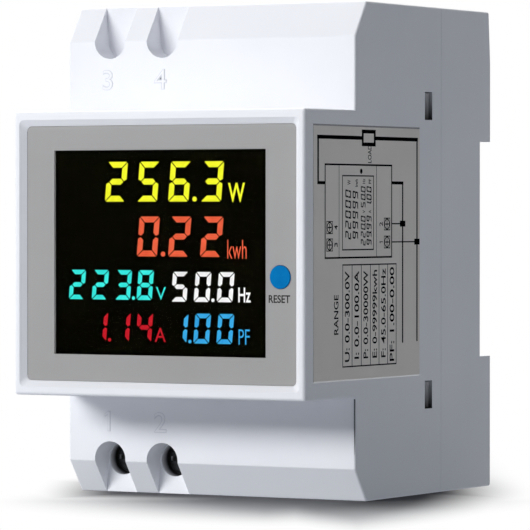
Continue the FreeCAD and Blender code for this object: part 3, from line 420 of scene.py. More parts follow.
springSteel = {
    "group": "drawnMetal",
    "pattern": {"Tone": seen(190, 190, 190), "Shade": seen(118, 118, 120), "Streak Scale": 4000.0,
                "Stretch": Vector((0.2, 0.2, 1)), "Smoothest": 0.2, "Roughest": 0.4},
    "shader": {"Metallic": 1.0},
}

labelFilm = {
    "group": "mouldedSkin",
    "pattern": {"Tone": seen(241, 235, 228), "Shade": seen(237, 231, 224), "Cloud Scale": 90.0,
                "Grain Scale": 6000.0, "Smoothest": 0.4, "Roughest": 0.6},
    "shader": {"Specular IOR Level": 0.3},
    "relief": (0.25, 0.00001),
}

capacitorBox = {
    "group": "mouldedSkin",
    "pattern": {"Tone": seen(230, 190, 62), "Shade": seen(216, 172, 48), "Cloud Scale": 120.0,
                "Grain Scale": 3500.0, "Smoothest": 0.25, "Roughest": 0.4},
    "relief": (0.3, 0.00003),
}

capacitorCan = {
    "group": "drawnMetal",
    "pattern": {"Tone": seen(206, 208, 212), "Shade": seen(160, 162, 168), "Streak Scale": 2500.0,
                "Stretch": Vector((1, 0.1, 1)), "Smoothest": 0.25, "Roughest": 0.4},
    "shader": {"Metallic": 1.0},
}

varistorCoat = {
    "group": "mouldedSkin",
    "pattern": {"Tone": seen(40, 92, 170), "Shade": seen(26, 72, 148), "Cloud Scale": 300.0,
                "Grain Scale": 900.0, "Smoothest": 0.15, "Roughest": 0.3},
    "relief": (0.5, 0.00008),
}

resistorCoat = {
    "group": "mouldedSkin",
    "pattern": {"Tone": seen(126, 168, 138), "Shade": seen(104, 148, 118), "Cloud Scale": 400.0,
                "Grain Scale": 1200.0, "Smoothest": 0.2, "Roughest": 0.35},
    "relief": (0.5, 0.00006),
}

# steel toned darker than the board screws: partly its own finish, partly painted shade of the deep wells
shadeDarkenedScrewSteel = {
    "group": "turnedFace",
    "pattern": {"Tone": seen(128, 129, 130), "Shade": seen(34, 35, 37), "Rings": 22.0, "Smoothest": 0.1,
                "Roughest": 0.25},
    "shader": {"Metallic": 1.0},
    "relief": (0.3, 0.00003),
}

smallScrewSteel = {
    "group": "drawnMetal",
    "pattern": {"Tone": seen(196, 198, 196), "Shade": seen(128, 130, 132), "Streak Scale": 2500.0},
    "shader": {"Metallic": 1.0},
}

cageSteel = {
    "group": "drawnMetal",
    "pattern": {"Tone": seen(190, 190, 184), "Shade": seen(132, 132, 128), "Stretch": Vector((1, 0.15, 1)),
                "Streak Scale": 1800.0, "Smoothest": 0.25, "Roughest": 0.45},
    "shader": {"Metallic": 1.0},
}

busbarBrass = {
    "group": "drawnMetal",
    "pattern": {"Tone": seen(222, 190, 118), "Shade": seen(170, 132, 66), "Stretch": Vector((1, 1, 0.12)),
                "Streak Scale": 2000.0, "Smoothest": 0.25, "Roughest": 0.45},
    "shader": {"Metallic": 1.0},
}

# each finish, and the parts that take it
finishes = (
    ("housingPlastic", housingPlastic, ("front_cover", "rear_base", "ct_sleeve")),
    ("faceplateFilm", faceplateFilm, ("front_overlay",)),
    ("clearPane", clearPane, ("display_window",)),
    ("displayBlack", displayBlack, ("lcd_glass",)),
    ("lightGuide", lightGuide, ("lcd_backlight",)),
    ("tinnedPin", tinnedPin, ("lcd_pins",)),
    ("circuitBoard", circuitBoard, ("display_board", "main_board")),
    ("greyMoulding", greyMoulding, ("switch_plunger", "terminal_carrier", "rail_clip")),
    ("buttonBlue", buttonBlue, ("reset_button",)),
    ("springSteel", springSteel, ("clip_spring",)),
    ("coreStrip", coreStrip, ("ct_core",)),
    ("copperWinding", copperWinding, ("ct_winding",)),
    ("wireCover", wireCover, ("ct_leads",)),
    ("labelFilm", labelFilm, ("side_label",)),
    ("capacitorCan", capacitorCan, ("filter_capacitors",)),
    ("smallScrewSteel", smallScrewSteel, ("main_board_screws", "display_board_screws")),
    ("shadeDarkenedScrewSteel", shadeDarkenedScrewSteel, ("terminal_screw_1", "terminal_screw_2")),
    ("cageSteel", cageSteel, ("terminal_cage_1", "terminal_cage_2")),
    ("busbarBrass", busbarBrass, ("busbar_1", "busbar_2")),
)

# parts with tinned legs: their finish, and how far the legs reach past the body on its low and high sides
leggedParts = {
    "board_header": (blackMoulding, (0, 0, 0), (0, 0, 0)),
    "bridge_rectifier": (blackMoulding, (0, 0, 1.15), (0, 0.25, 1.15)),
    "metering_chip": (blackMoulding, (0, 0, 1.15), (0, 0.25, 1.15)),
    "microcontroller": (blackMoulding, (0, 0.25, 1.15), (0, 0, 1.15)),
    "tact_switch": (blackMoulding, (0, 0, 0), (0, 0, 0)),
    "film_capacitor": (capacitorBox, (0, 0, 0), (0, 0.32, 0)),
    "varistor": (varistorCoat, (0, 0, 0), (0, 0.65, 0)),
    "fuse_resistor": (resistorCoat, (1.9, 0, 0), (1.9, 0.4, 0)),
}


def dress(name, material):
    for slot in nodes[name].material_slots:
        slot.material = material


def dressNodes():
    for label, look, names in finishes:
        material = makeMaterial(label, look)
        for name in names:
            dress(name, material)
    for name, (look, pastLow, pastHigh) in leggedParts.items():
        low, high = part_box(name)
        legs = (low + Vector(pastLow) * mm, high - Vector(pastHigh) * mm)
        dress(name, makeMaterial(name + "Finish", {**look, "legs": legs}))


dressNodes()
print("finishes on", sum(len(names) for _, _, names in finishes) + len(leggedParts), "parts")


# meshes and pieces

def newPiece(name, mesh, material):
    mesh.name = name
    mesh.materials.clear()
    mesh.materials.append(material)
    piece = bpy.data.objects.new(name, mesh)
    scene.collection.objects.link(piece)
    return piece


def meshOf(curve):
    # the mesh that a curve or a text makes
    holder = bpy.data.objects.new(curve.name, curve)
    scene.collection.objects.link(holder)
    ready = holder.evaluated_get(bpy.context.evaluated_depsgraph_get())
    mesh = bpy.data.meshes.new_from_object(ready)
    bpy.data.objects.remove(holder)
    return mesh


def closed(work, name):
    # ends the work on a closed mesh
    bmesh.ops.recalc_face_normals(work, faces=work.faces)
    mesh = bpy.data.meshes.new(name)
    work.to_mesh(mesh)
    work.free()
    return mesh


def addPrism(work, first, last):
    # a closed prism between two outlines with as many corners
    low, high = ([work.verts.new(corner) for corner in outline] for outline in (first, last))
    work.faces.new(list(reversed(low)))
    work.faces.new(high)
    for index in range(len(low)):
        after = (index + 1) % len(low)
        work.faces.new((low[index], low[after], high[after], high[index]))


def plateOf(outlines, thickness):
    # thin plates from closed outlines in one plane
    work = bmesh.new()
    for outline in outlines:
        addPrism(work, [(x, y, 0) for x, y in outline], [(x, y, thickness) for x, y in outline])
    return closed(work, "plate")


def lettersOf(text, left, low, right, high, thickness, weight=0.0):
    # a word as a thin plate that fills the given rectangle
    curve = bpy.data.curves.new("letters", "FONT")
    curve.body = text
    curve.resolution_u = 4
    curve.extrude = 0.5
    curve.offset = weight
    mesh = meshOf(curve)
    xs, ys = [v.co.x for v in mesh.vertices], [v.co.y for v in mesh.vertices]
    wide, tall = max(xs) - min(xs), max(ys) - min(ys)
    for vertex in mesh.vertices:
        x, y, z = vertex.co
        vertex.co = (
            left + (x - min(xs)) / wide * (right - left), low + (y - min(ys)) / tall * (high - low),
            (z + curve.extrude) * thickness)
    return mesh


def joined(meshes):
    work = bmesh.new()
    for mesh in meshes:
        work.from_mesh(mesh)
        bpy.data.meshes.remove(mesh)
    mesh = bpy.data.meshes.new("joined")
    work.to_mesh(mesh)
    work.free()
    return mesh


def facing(origin, right, up):
    # a frame on a face: x runs right, y runs up and z stands off the face
    right, up = Vector(right).normalized(), Vector(up).normalized()
    columns = Matrix((right, up, right.cross(up))).transposed().to_4x4()
    return Matrix.Translation(Vector(origin)) @ columns


def frontFacing(y, z=0.0):
    return facing((0, y, z), (1, 0, 0), (0, 0, 1))


def setOn(name, mesh, face, material):
    # the mesh is drawn in millimetres on its face
    mesh.transform(face @ Matrix.Scale(mm, 4))
    piece = newPiece(name, mesh, material)
    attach(piece, "housing")


# outlines for marks, in millimetres

def strip(x0, y0, x1, y1, width):
    # a straight line with square ends
    along = Vector((x1 - x0, y1 - y0)).normalized() * width / 2
    across = Vector((-along.y, along.x))
    a, b = Vector((x0, y0)) - along, Vector((x1, y1)) + along
    return [tuple(p) for p in (a - across, b - across, b + across, a + across)]


def loopOf(corners, width):
    # strips along every side of a closed outline
    return [strip(*corner, *after, width) for corner, after in zip(corners, corners[1:] + corners[:1])]


def frameOf(x0, y0, x1, y1, width):
    return loopOf([(x0, y0), (x1, y0), (x1, y1), (x0, y1)], width)


def disc(x, y, radius, count=24):
    turns = [2 * math.pi * index / count for index in range(count)]
    return [(x + radius * math.cos(turn), y + radius * math.sin(turn)) for turn in turns]


# the clip's spring, wound as a fixed coil; the real spring shortens as the clip is drawn out

railSpring = {"wire": 0.25, "coils": 4, "points": 28, "drawn": 3.5, "roundness": 4}


def makeRailSpring():
    low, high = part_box("clip_spring")
    middle, wire = (low + high) / 2, railSpring["wire"] * mm
    radius, rise = (high.x - low.x) / 2 - wire, (high.z - low.z - 2 * wire) / railSpring["coils"]
    curve = bpy.data.curves.new("coil", "CURVE")
    curve.dimensions, curve.use_fill_caps = "3D", True
    curve.bevel_depth, curve.bevel_resolution = wire, railSpring["roundness"]
    coil = curve.splines.new("POLY")
    coil.points.add(railSpring["coils"] * railSpring["points"])
    for index, point in enumerate(coil.points):
        turn = index / railSpring["points"]
        x, y = math.cos(2 * math.pi * turn), math.sin(2 * math.pi * turn)
        point.co = (middle.x + radius * x, middle.y + radius * y, low.z + wire + rise * turn, 1)
    mesh = meshOf(curve)
    for polygon in mesh.polygons:
        polygon.use_smooth = True
    piece = newPiece("railSpring", mesh, nodes["clip_spring"].material_slots[0].material)
    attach(piece, "housing")
    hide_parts("clip_spring")
    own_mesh(piece)


makeRailSpring()
print("spring wound")


# readings on the display

segmentsOf = {
    "0": "abcdef", "1": "bc", "2": "abged", "3": "abgcd", "4": "fgbc", "5": "afgcd", "6": "afgedc",
    "8": "abcdefg", "9": "abcdfg",
}

display = {
    "thickness": 0.04, "slant": 0.09, "gap": 0.12, "corner": 0.28, "brightness": 1.0,
    "big": {"wide": 3.75, "tall": 6.38, "stroke": 0.95, "dot": 0.4, "dotAfter": 1.15},
    "small": {"wide": 2.85, "tall": 4.75, "stroke": 0.73, "dot": 0.29, "dotAfter": 0.68},
}

# each reading: tones, digit size, height of its line, left side of each digit, and its unit's rectangle
readings = {
    "powerReading": {
        "tone": (250, 252, 52), "edge": (238, 242, 40), "size": "big", "base": 47.95, "text": "256.3",
        "columns": (-10.75, -4.75, 1.08, 7.08), "unit": ("W", 12.13, 47.85, 15.2, 50.9, 0.012)},
    "energyReading": {
        "tone": (238, 104, 70), "edge": (222, 88, 56), "size": "big", "base": 39.2, "text": "0.22",
        "columns": (-4.77, 1.08, 6.98), "unit": ("kwh", 12.0, 38.9, 15.5, 41.9, -0.008)},
    "voltageReading": {
        "tone": (64, 238, 226), "edge": (46, 220, 212), "size": "small", "base": 32.25, "text": "223.8",
        "columns": (-17.62, -13.27, -8.92, -4.82), "unit": ("V", -1.18, 32.3, 0.65, 34.35, -0.006)},
    "frequencyReading": {
        "tone": (252, 252, 252), "edge": (236, 236, 236), "size": "small", "base": 32.05, "text": "50.0",
        "columns": (1.6, 5.82, 10.05), "unit": ("Hz", 14.0, 32.05, 16.25, 34.4, 0.012)},
    "currentReading": {
        "tone": (198, 30, 42), "edge": (176, 20, 32), "size": "small", "base": 25.5, "text": "1.14",
        "columns": (-13.42, -9.15, -4.97), "unit": ("A", -1.4, 25.6, 0.65, 27.85, 0.0)},
    "factorReading": {
        "tone": (64, 176, 232), "edge": (48, 156, 218), "size": "small", "base": 25.45, "text": "1.00",
        "columns": (1.58, 5.74, 9.98), "unit": ("PF", 14.05, 25.4, 16.05, 27.8, -0.006)},
}


def segmentOutlines(wide, tall, stroke, gap, corner):
    # the seven bars of one digit, mitred at the corners and pointed at the middle
    half, mid = stroke / 2, tall / 2
    near, far = (corner - gap) / 2, (corner + gap) / 2
    top = [(corner, tall), (wide - corner, tall), (wide - far, tall - near),
           (wide - stroke - gap, tall - stroke), (stroke + gap, tall - stroke), (far, tall - near)]
    upper = [(0, tall - corner), (near, tall - far), (stroke, tall - stroke - gap),
             (stroke, mid + half + gap), (half, mid + gap), (0, mid + half / 2 + gap)]
    middle = [(half + gap, mid), (stroke + gap, mid + half), (wide - stroke - gap, mid + half),
              (wide - half - gap, mid), (wide - stroke - gap, mid - half), (stroke + gap, mid - half)]

    def mirrored(outline, sideways, upright):
        return [(wide - x if sideways else x, tall - y if upright else y) for x, y in outline]

    return {
        "a": top, "b": mirrored(upper, True, False), "c": mirrored(upper, True, True),
        "d": mirrored(top, False, True), "e": mirrored(upper, False, True), "f": upper, "g": middle,
    }


def readingOutlines(reading):
    size, outlines = display[reading["size"]], []
    bars = segmentOutlines(size["wide"], size["tall"], size["stroke"], display["gap"], display["corner"])
    columns = iter(reading["columns"])
    left = None
    for sign in reading["text"]:
        if sign == ".":
            outlines.append(disc(left + size["wide"] + size["dotAfter"], size["dot"], size["dot"]))
            continue
        left = next(columns)
        for bar in segmentsOf[sign]:
            outlines.append([(left + x + y * display["slant"], y) for x, y in bars[bar]])
    return outlines


def makeReadings():
    front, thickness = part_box("lcd_glass")[0].y, display["thickness"]
    for name, reading in readings.items():
        look = {
            "group": "mouldedSkin", "lit": True,
            "pattern": {"Tone": seen(*reading["tone"]), "Shade": seen(*reading["edge"]),
                        "Cloud Scale": 500.0, "Grain Scale": 3000.0},
            "shader": {"Base Color": (0, 0, 0, 1), "Emission Strength": display["brightness"],
                       "Specular IOR Level": 0.0},
        }
        base = reading["base"]
        digits = plateOf(readingOutlines(reading), thickness)
        text, left, low, right, high, weight = reading["unit"]
        unit = lettersOf(text, left, low - base, right, high - base, thickness, weight)
        glow = makeMaterial(name + "Glow", look)
        setOn(name, joined([digits, unit]), frontFacing(front, base * mm), glow)


makeReadings()
print("display shows", len(readings), "readings")


# printed and raised marks on the front

inkLook = {
    "group": "mouldedSkin",
    "pattern": {"Tone": seen(24, 24, 24), "Shade": seen(18, 18, 19), "Cloud Scale": 600.0,
                "Grain Scale": 6000.0, "Smoothest": 0.45, "Roughest": 0.6},
    "shader": {"Specular IOR Level": 0.2},
}

frontPrint = {"thickness": 0.02, "word": ("RESET", 20.05, 32.05, 23.9, 33.3), "weight": 0.018}

# figures on the shoulders: left side, foot and width of each, and the corners of the figure one
raisedNumbers = {
    "face": -15.5, "height": 0.08, "tall": 3.15, "weight": -0.01,
    # rim: a darker plate under each figure, painted shade of its raised edges
    "rim": {"height": 0.02, "past": 0.11, "width": 0.165, "weight": 0.025},
    "tone": seen(226, 228, 235), "shade": seen(221, 223, 230),
    "places": {"2": (-10.4, 10.3, 2.15), "3": (-20.3, 66.4, 1.8), "4": (-10.4, 66.4, 2.2)},
    "one": [(-19.0, 10.3), (-19.0, 13.45), (-19.4, 13.45), (-19.95, 13.05), (-19.95, 12.7),
            (-19.4, 13.05), (-19.4, 10.3)],
}

# thin dark lines: left of the faceplate, painted shade of the step down to the film, and down the right edge
# of the lower shoulder, a dark joint
seamAndShadeLines = {
    "panelStepShade": {
        "tone": (140, 141, 143), "shade": (134, 135, 138), "slot": "faceplate", "thickness": 0.02,
        "front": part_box("front_overlay")[0].y,
        "outline": [(-25.0, 19.9), (-24.87, 19.9), (-24.87, 59.3), (-25.0, 59.3)],
    },
    "cornerSeam": {
        "tone": (100, 102, 108), "shade": (92, 94, 100), "slot": "housing", "thickness": 0.03,
        "front": raisedNumbers["face"] * mm,
        "outline": [(26.8, 7.5), (26.95, 12.0), (26.95, 16.5), (26.7, 16.5), (26.7, 12.0)],
    },
}


def toned(look, tone, shade, **changes):
    # the same finish in another tone, without the painted shade of the hollows
    return {**look, "paintedShadeAreas": (), "pattern": {**look["pattern"], "Tone": tone, "Shade": shade}, **changes}


def printFront():
    word = lettersOf(*frontPrint["word"], frontPrint["thickness"], frontPrint["weight"])
    setOn("frontPrint", word, frontFacing(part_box("front_overlay")[0].y), makeMaterial("printInk", inkLook))


def raiseNumbers():
    face, plastic = frontFacing(raisedNumbers["face"] * mm), nodes["front_cover"].material_slots[0].material
    height, tall, rim = raisedNumbers["height"], raisedNumbers["tall"], raisedNumbers["rim"]
    past = rim["past"]
    shadeRims = []
    for sign, (left, low, wide) in raisedNumbers["places"].items():
        mesh = lettersOf(sign, left, low, left + wide, low + tall, height, raisedNumbers["weight"])
        setOn("terminalNumber" + sign, mesh, face, plastic)
        corners = (left - past, low - past, left + wide + past, low + tall + past)
        shadeRims.append(lettersOf(sign, *corners, rim["height"], rim["weight"]))
    one = raisedNumbers["one"]
    setOn("terminalNumber1", plateOf([one], height), face, plastic)
    shadeRims.append(plateOf(loopOf(one, rim["width"]), rim["height"]))
    # painted shade: the rims take a darker tone than the housing
    look = toned(housingPlastic, raisedNumbers["tone"], raisedNumbers["shade"])
    setOn("numberShadeRims", joined(shadeRims), face, makeMaterial("numberRimShade", look))


def drawSeamAndShadeLines():
    for name, seam in seamAndShadeLines.items():
        material = makeMaterial(name + "Tone", toned(inkLook, seen(*seam["tone"]), seen(*seam["shade"])))
        mesh = plateOf([seam["outline"]], seam["thickness"])
        setOn(name, mesh, frontFacing(seam["front"]), material)


printFront()
raiseNumbers()
drawSeamAndShadeLines()
print("front marks set")


# wiring drawing on the side label, laid out as it is seen from the side: y runs back, z runs up

sideDrawing = {
    "thickness": 0.008, "weight": 0.012,
    "ink": (seen(8, 7, 10), seen(5, 5, 7)),
    # both ends of each line, and its width
    "lines": (
        (-27.4, 58.1, -13.2, 58.1, 0.6), (-8.65, 58.1, 5.5, 58.1, 0.6), (-27.4, 58.1, -27.4, 50.9, 0.5),
        (-27.4, 50.9, -25.3, 50.9, 0.5), (-20.65, 39.2, -20.65, 53.7, 0.12), (-8.3, 39.2, -8.3, 53.7, 0.12),
        (-3.1, 51.0, 0.55, 51.0, 0.5), (0.55, 51.0, 0.55, 25.25, 0.4), (5.5, 58.1, 5.5, 25.4, 0.42),
        (-3.1, 44.4, 0.55, 44.4, 0.2), (-3.1, 41.45, 5.5, 41.45, 0.2), (0.1, 44.4, 1.0, 44.4, 0.95),
        (5.05, 41.45, 5.95, 41.45, 0.95), (-7.25, 41.5, -6.25, 41.5, 0.13), (-7.25, 41.5, -7.0, 41.3, 0.11),
    ),
    "frames": (
        (-12.9, 57.1, -8.9, 59.15, 0.6), (-25.15, 39.05, -3.2, 53.8, 0.28), (-19.55, 40.3, -9.3, 52.05, 0.2),
    ),
    "lamp": (-13.4, 52.8, 0.42, 16),
    "screws": ((-23.7, 43.85), (-23.7, 41.1), (-4.75, 44.35), (-4.75, 41.45)),
    "screw": {"box": 0.95, "boxLine": 0.14, "radius": 0.8, "sides": 20, "cross": 0.5, "line": 0.2},
    "table": {"columns": (-19.45, -16.4, -13.35, -10.35, -7.45, -4.55, -1.65), "column": (21.8, 37.9),
              "edges": (21.75, 37.9), "columnLine": 0.16, "edgeLine": 0.2},
    # front, foot, rear and head of each word as it stands on the label
    "words": (
        ("LOAD", -11.15, 54.15, -10.0, 57.0), ("4", -22.2, 43.5, -21.1, 44.2),
        ("3", -22.2, 40.75, -21.1, 41.45), ("2", -7.3, 44.0, -6.2, 44.7),
        ("W", -17.9, 50.6, -16.9, 51.4), ("kwh", -15.4, 50.3, -14.5, 51.5),
        ("V", -12.9, 46.1, -12.1, 46.6), ("Hz", -12.9, 50.8, -12.1, 51.6), ("A", -10.9, 46.1, -10.1, 46.6),
        ("PF", -10.9, 50.8, -10.1, 51.6), ("RANGE", -22.3, 26.9, -20.85, 33.2),
        ("U: 0.0-300.0V", -18.75, 22.5, -17.2, 36.9), ("I: 0.0-100.0A", -15.65, 22.9, -14.1, 36.9),
        ("P: 0.0-30000W", -12.65, 22.9, -11.1, 36.9), ("E: 0-99999kwh", -9.65, 22.9, -8.1, 37.0),
        ("F: 45.0-65.0Hz", -6.75, 22.9, -5.2, 37.2), ("PF: 1.00-0.00", -3.85, 22.2, -2.3, 37.4),
    ),
    # rear, foot, head and height of each row of bar digits
    "readings": (
        ("22000", -16.75, 41.9, 50.1, 1.85), ("99999", -14.45, 41.9, 49.9, 1.75),
        ("220.0", -12.0, 40.9, 45.9, 1.5), ("50.0", -12.0, 46.9, 50.6, 1.5),
        ("99.99", -10.0, 40.9, 45.9, 1.6), ("1.00", -10.0, 46.9, 50.6, 1.6),
    ),
    "digit": {"wide": 0.74, "stroke": 0.15, "gap": 0.02, "corner": 0.1, "slant": 0.12,
              "dot": 0.14, "dotAway": 0.12, "dotSides": 10},
}

# sloped edges of the label's recess, which is deeper at the front: rise to the wall, foot's place and tones;
# the darker upper and front tones are painted shade
recessEdges = {
    "frontRise": 0.23, "rearRise": 0.01,
    "sides": {
        "lower": {"along": 0.0, "up": 0.22, "tone": seen(246, 247, 251),
                  "gloss": {"Coat Weight": 1.0, "Coat Roughness": 0.3, "Coat IOR": 2.2}},
        "upper": {"along": 0.0, "up": -0.25, "tone": seen(120, 121, 126), "gloss": {}},
        "front": {"along": 0.56, "up": 0.0, "tone": seen(110, 111, 115), "gloss": {}},
    },
}


def labelFace():
    # the label leans a little, so its face is found from its front and rear edges
    low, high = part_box("side_label")
    outer = {}
    for edge in (low.y, high.y):
        outer[edge] = max(v.co.x for v in nodes["side_label"].data.vertices if abs(v.co.y - edge) < 0.0001)
    lean = Vector((outer[high.y] - outer[low.y], high.y - low.y, 0))
    origin = Vector((outer[low.y], low.y, 0)) - lean * (low.y / lean.y)
    return facing(origin, lean, (0, 0, 1))


def screwSign(y, z):
    # a crossed screw in its box, drawn beside the meter's edge
    sign = sideDrawing["screw"]
    box, cross, line = sign["box"], sign["cross"], sign["line"]
    shapes = frameOf(y - box, z - box, y + box, z + box, sign["boxLine"])
    shapes += loopOf(disc(y, z, sign["radius"], sign["sides"]), line)
    return shapes + [strip(y - cross, z, y + cross, z, line), strip(y, z - cross, y, z + cross, line)]


def turnedWord(text, left, low, right, high):
    # a word that reads from bottom to top
    mesh = lettersOf(text, low, -right, high, -left, sideDrawing["thickness"], sideDrawing["weight"])
    mesh.transform(Matrix.Rotation(math.pi / 2, 4, "Z"))
    return mesh


def turnedReading(text, right, low, high, tall):
    # bar digits that read from bottom to top
    digit = sideDrawing["digit"]
    pitch = (high - low) / len(text.replace(".", ""))
    wide = pitch * digit["wide"]
    bars = segmentOutlines(wide, tall, tall * digit["stroke"], digit["gap"], digit["corner"])
    outlines, start = [], low - pitch
    for sign in text:
        if sign == ".":
            away = digit["dotAway"]
            outlines.append(disc(right - away, start + wide + away, digit["dot"], digit["dotSides"]))
            continue
        start += pitch
        for bar in segmentsOf[sign]:
            outlines.append([(right - y, start + x + y * digit["slant"]) for x, y in bars[bar]])
    return outlines


def drawLabel():
    table = sideDrawing["table"]
    columns, (low, high) = table["columns"], table["column"]
    shapes = [strip(*line) for line in sideDrawing["lines"]] + [disc(*sideDrawing["lamp"])]
    for frameLine in sideDrawing["frames"]:
        shapes += frameOf(*frameLine)
    for spot in sideDrawing["screws"]:
        shapes += screwSign(*spot)
    shapes += [strip(y, low, y, high, table["columnLine"]) for y in columns]
    shapes += [strip(columns[0], z, columns[-1], z, table["edgeLine"]) for z in table["edges"]]
    for reading in sideDrawing["readings"]:
        shapes += turnedReading(*reading)
    words = [turnedWord(*word) for word in sideDrawing["words"]]
    look = toned(inkLook, *sideDrawing["ink"], shader={"Specular IOR Level": 0.0})
    mesh = joined([plateOf(shapes, sideDrawing["thickness"])] + words)
    setOn("labelDrawing", mesh, labelFace(), makeMaterial("labelInk", look))


def slopeRecess():
    # sloped edges round the recess that holds the label; the upper and front slopes are darkened with painted
    # shade
    low, high = (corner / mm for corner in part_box("side_label"))
    rises = {low.y: recessEdges["frontRise"], high.y: recessEdges["rearRise"]}
    ends = {
        "lower": ((low.y, low.z), (high.y, low.z)), "upper": ((low.y, high.z), (high.y, high.z)),
        "front": ((low.y, low.z), (low.y, high.z)),
    }
    for name, edge in recessEdges["sides"].items():
        work = bmesh.new()
        addPrism(work, *([(y, z, 0), (y, z, rises[y]), (y + edge["along"], z + edge["up"], 0)]
                         for y, z in ends[name]))
        shader = {**housingPlastic["shader"], **edge["gloss"]}
        look = toned(housingPlastic, edge["tone"], edge["tone"], shader=shader)
        material = makeMaterial(name + "EdgeTone", look)
        setOn(name + "RecessEdge", closed(work, "slope"), labelFace(), material)


drawLabel()
slopeRecess()
print("label drawn")


# studio: floor, lamps, surroundings and camera

# areas of the floor, in metres: dark up to one distance from a rectangle, white from another on
studio = {
    # the contact tone over the core area is a painted shadow round the object's foot
    "floorTone": (0.79, 0.79, 0.795, 1), "paintedContactShadow": (0.142, 0.142, 0.147, 1),
    "floorBounce": (0.5, 0.52, 0.56, 1), "floorSize": 6.0, "floorGap": 0.00005, "footGlow": 0.34,
    "floorGrain": {"scale": 900.0, "strength": 0.05, "depth": 0.0002}, "shadowTurn": -29.79,
    "core": {"middle": (0, 0.0105, 0), "half": (0.02695, 0.0215, 1), "dark": 0.0, "white": 0.0353},
    "foot": {"middle": (0, 0.0105, 0), "half": (0.0268, 0.0213, 1), "dark": 0.0, "white": 0.034},
    "reach": {"middle": (0, 0.0105, 0), "half": (0.02695, 0.0215, 1), "dark": 0.04, "white": 0.15},
    "contact": {"middle": (0, 0.00827, 0), "half": (0.02646, 0.02283, 1), "dark": 0.0, "white": 0.02163},
    "endFade": {"middle": (0.00341, 0, 0), "half": (0.02579, 1, 1), "dark": 0.0, "white": 0.01511},
    "frontFade": {"middle": (0.00149, -0.02295, 0), "half": (-0.03108, -0.01776, 1), "dark": 0.04225,
                  "white": 0.08163},
    "sideFade": {"middle": (0.01494, 0.5008, 0), "half": (-0.13861, 0.49354, 1), "dark": 0.15104,
                 "white": 0.17035},
    "ambient": 0.142, "ambientTone": (0.86, 0.92, 1.0, 1), "aim": (0, 0, 0.04),
    "lamps": {
        "keyLamp": {"watts": 8.9, "wide": 0.85, "tall": 0.24, "reach": 1.1, "way": (-0.55, -1.0, 0.39)},
        "overheadLamp": {"watts": 7.2, "wide": 0.7, "tall": 0.7, "reach": 1.0, "way": (-0.35, 0.45, 1.0)},
    },
}

viewpoint = {
    "place": (0.3438, -0.5979, 0.0464), "pitch": 89.262, "turn": 29.79, "lens": 283.04, "sensor": 36.0,
    "nearest": 0.05,
}


def whitening(tree, spot, area):
    # 0 near the middle of an area of floor, rising to 1 at its white distance
    far = vectorNode(tree, "ABSOLUTE", vectorNode(tree, "SUBTRACT", spot, Vector(area["middle"])))
    past = vectorNode(tree, "MAXIMUM", vectorNode(tree, "SUBTRACT", far, Vector(area["half"])))
    return addNode(tree, "ShaderNodeMapRange", {"interpolation_type": "SMOOTHSTEP"}, {
        "Value": vectorNode(tree, "LENGTH", past, result="Value"), "From Min": area["dark"],
        "From Max": area["white"]}).outputs[0]


def lookedAt(tree):
    # 1 for rays that show the background: straight, in a reflection or through clear pieces
    rays = addNode(tree, "ShaderNodeLightPath").outputs
    shown = mathNode(tree, "MAXIMUM", rays["Is Camera Ray"], rays["Is Glossy Ray"])
    return mathNode(tree, "MAXIMUM", shown, rays["Is Transmission Ray"])


def whiteShare(tree, spot):
    # how far the floor has faded to the white background: turned fades follow the photograph's shadow
    # inside these fades the paper stays greyer than the white round it, so their outline is a painted shadow;
    # lamp shadows also fall on it
    turned = addNode(tree, "ShaderNodeVectorRotate", {"rotation_type": "Z_AXIS"}, {
        "Vector": spot, "Angle": math.radians(studio["shadowTurn"])}).outputs[0]
    ends, front, side = (whitening(tree, turned, studio[name])
                         for name in ("endFade", "frontFade", "sideFade"))
    near = mathNode(tree, "MAXIMUM", whitening(tree, spot, studio["contact"]), ends)
    shaded = mathNode(tree, "MINIMUM", near, mathNode(tree, "MINIMUM", front, side))
    return mathNode(tree, "MAXIMUM", whitening(tree, spot, studio["reach"]), shaded)


def paperShader(tree, spot):
    # pale paper with a painted contact shadow where the object meets it, and a faint grain
    grain = studio["floorGrain"]
    bump = addNode(tree, "ShaderNodeBump", {}, {
        "Strength": grain["strength"], "Distance": grain["depth"],
        "Height": noise(tree, spot, grain["scale"], 3.0)}).outputs[0]
    tone = mixTones(tree, whitening(tree, spot, studio["core"]), studio["paintedContactShadow"], studio["floorTone"])
    return addNode(tree, "ShaderNodeBsdfDiffuse", {}, {"Color": tone, "Normal": bump}).outputs[0]


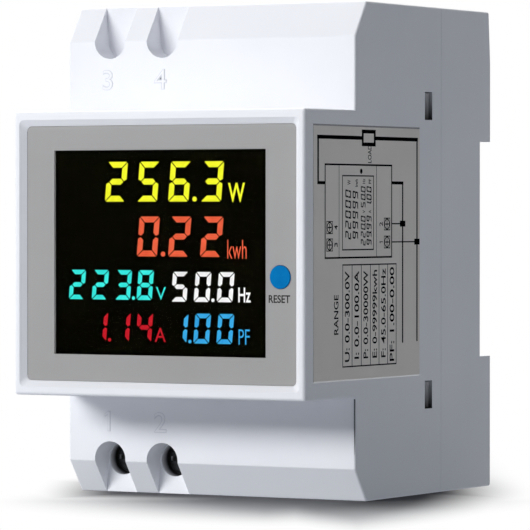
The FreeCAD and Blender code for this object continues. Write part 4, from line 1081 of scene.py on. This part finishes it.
def makeFloor():
    half, drop = studio["floorSize"] / 2, -studio["floorGap"]
    mesh = bpy.data.meshes.new("floor")
    corners = [(x * half, y * half, drop) for x, y in ((-1, -1), (1, -1), (1, 1), (-1, 1))]
    mesh.from_pydata(corners, [], [(0, 1, 2, 3)])
    material = bpy.data.materials.new("floorPaper")
    tree = emptyTree(material)
    spot = place(tree)
    glow = addNode(tree, "ShaderNodeEmission", {}, {"Strength": 1.0}).outputs[0]
    shown = mixShaders(tree, whiteShare(tree, spot), paperShader(tree, spot), glow)
    # what the floor gives back to the object, with soft light at its foot
    bounce = addNode(tree, "ShaderNodeBsdfDiffuse", {}, {"Color": studio["floorBounce"]}).outputs[0]
    lift = addNode(tree, "ShaderNodeEmission", {}, {
        "Color": studio["ambientTone"], "Strength": studio["footGlow"]}).outputs[0]
    given = mixShaders(tree, whitening(tree, spot, studio["foot"]), lift, bounce)
    above = mixShaders(tree, lookedAt(tree), given, shown)
    # from below the floor is clear, so that the underside shows
    clear = addNode(tree, "ShaderNodeBsdfTransparent").outputs[0]
    below = addNode(tree, "ShaderNodeNewGeometry").outputs["Backfacing"]
    addNode(tree, "ShaderNodeOutputMaterial", {}, {"Surface": mixShaders(tree, below, above, clear)})
    newPiece("floor", mesh, material)


def makeLamps():
    for name, lamp in studio["lamps"].items():
        data = bpy.data.lights.new(name, "AREA")
        data.shape = "ELLIPSE"
        data.size, data.size_y = lamp["wide"], lamp["tall"]
        data.energy = lamp["watts"]
        light = bpy.data.objects.new(name, data)
        way = Vector(lamp["way"]).normalized()
        light.location = Vector(studio["aim"]) + way * lamp["reach"]
        light.rotation_euler = way.to_track_quat("Z", "Y").to_euler()
        scene.collection.objects.link(light)


def makeSurroundings():
    world = bpy.data.worlds.new("studioWorld")
    scene.world = world
    tree = emptyTree(world)
    white, soft = (addNode(tree, "ShaderNodeBackground", {}, {"Color": tone, "Strength": strength}).outputs[0]
                   for tone, strength in (((1, 1, 1, 1), 1.0), (studio["ambientTone"], studio["ambient"])))
    addNode(tree, "ShaderNodeOutputWorld", {}, {"Surface": mixShaders(tree, lookedAt(tree), soft, white)})


def makeCamera():
    data = bpy.data.cameras.new("camera")
    data.lens, data.sensor_width, data.clip_start = (viewpoint[key] for key in ("lens", "sensor", "nearest"))
    camera = bpy.data.objects.new("camera", data)
    camera.location = viewpoint["place"]
    camera.rotation_euler = (math.radians(viewpoint["pitch"]), 0, math.radians(viewpoint["turn"]))
    scene.collection.objects.link(camera)
    scene.camera = camera


makeFloor()
makeLamps()
makeSurroundings()
makeCamera()
scene.view_settings.view_transform = "Standard"
print("studio ready")
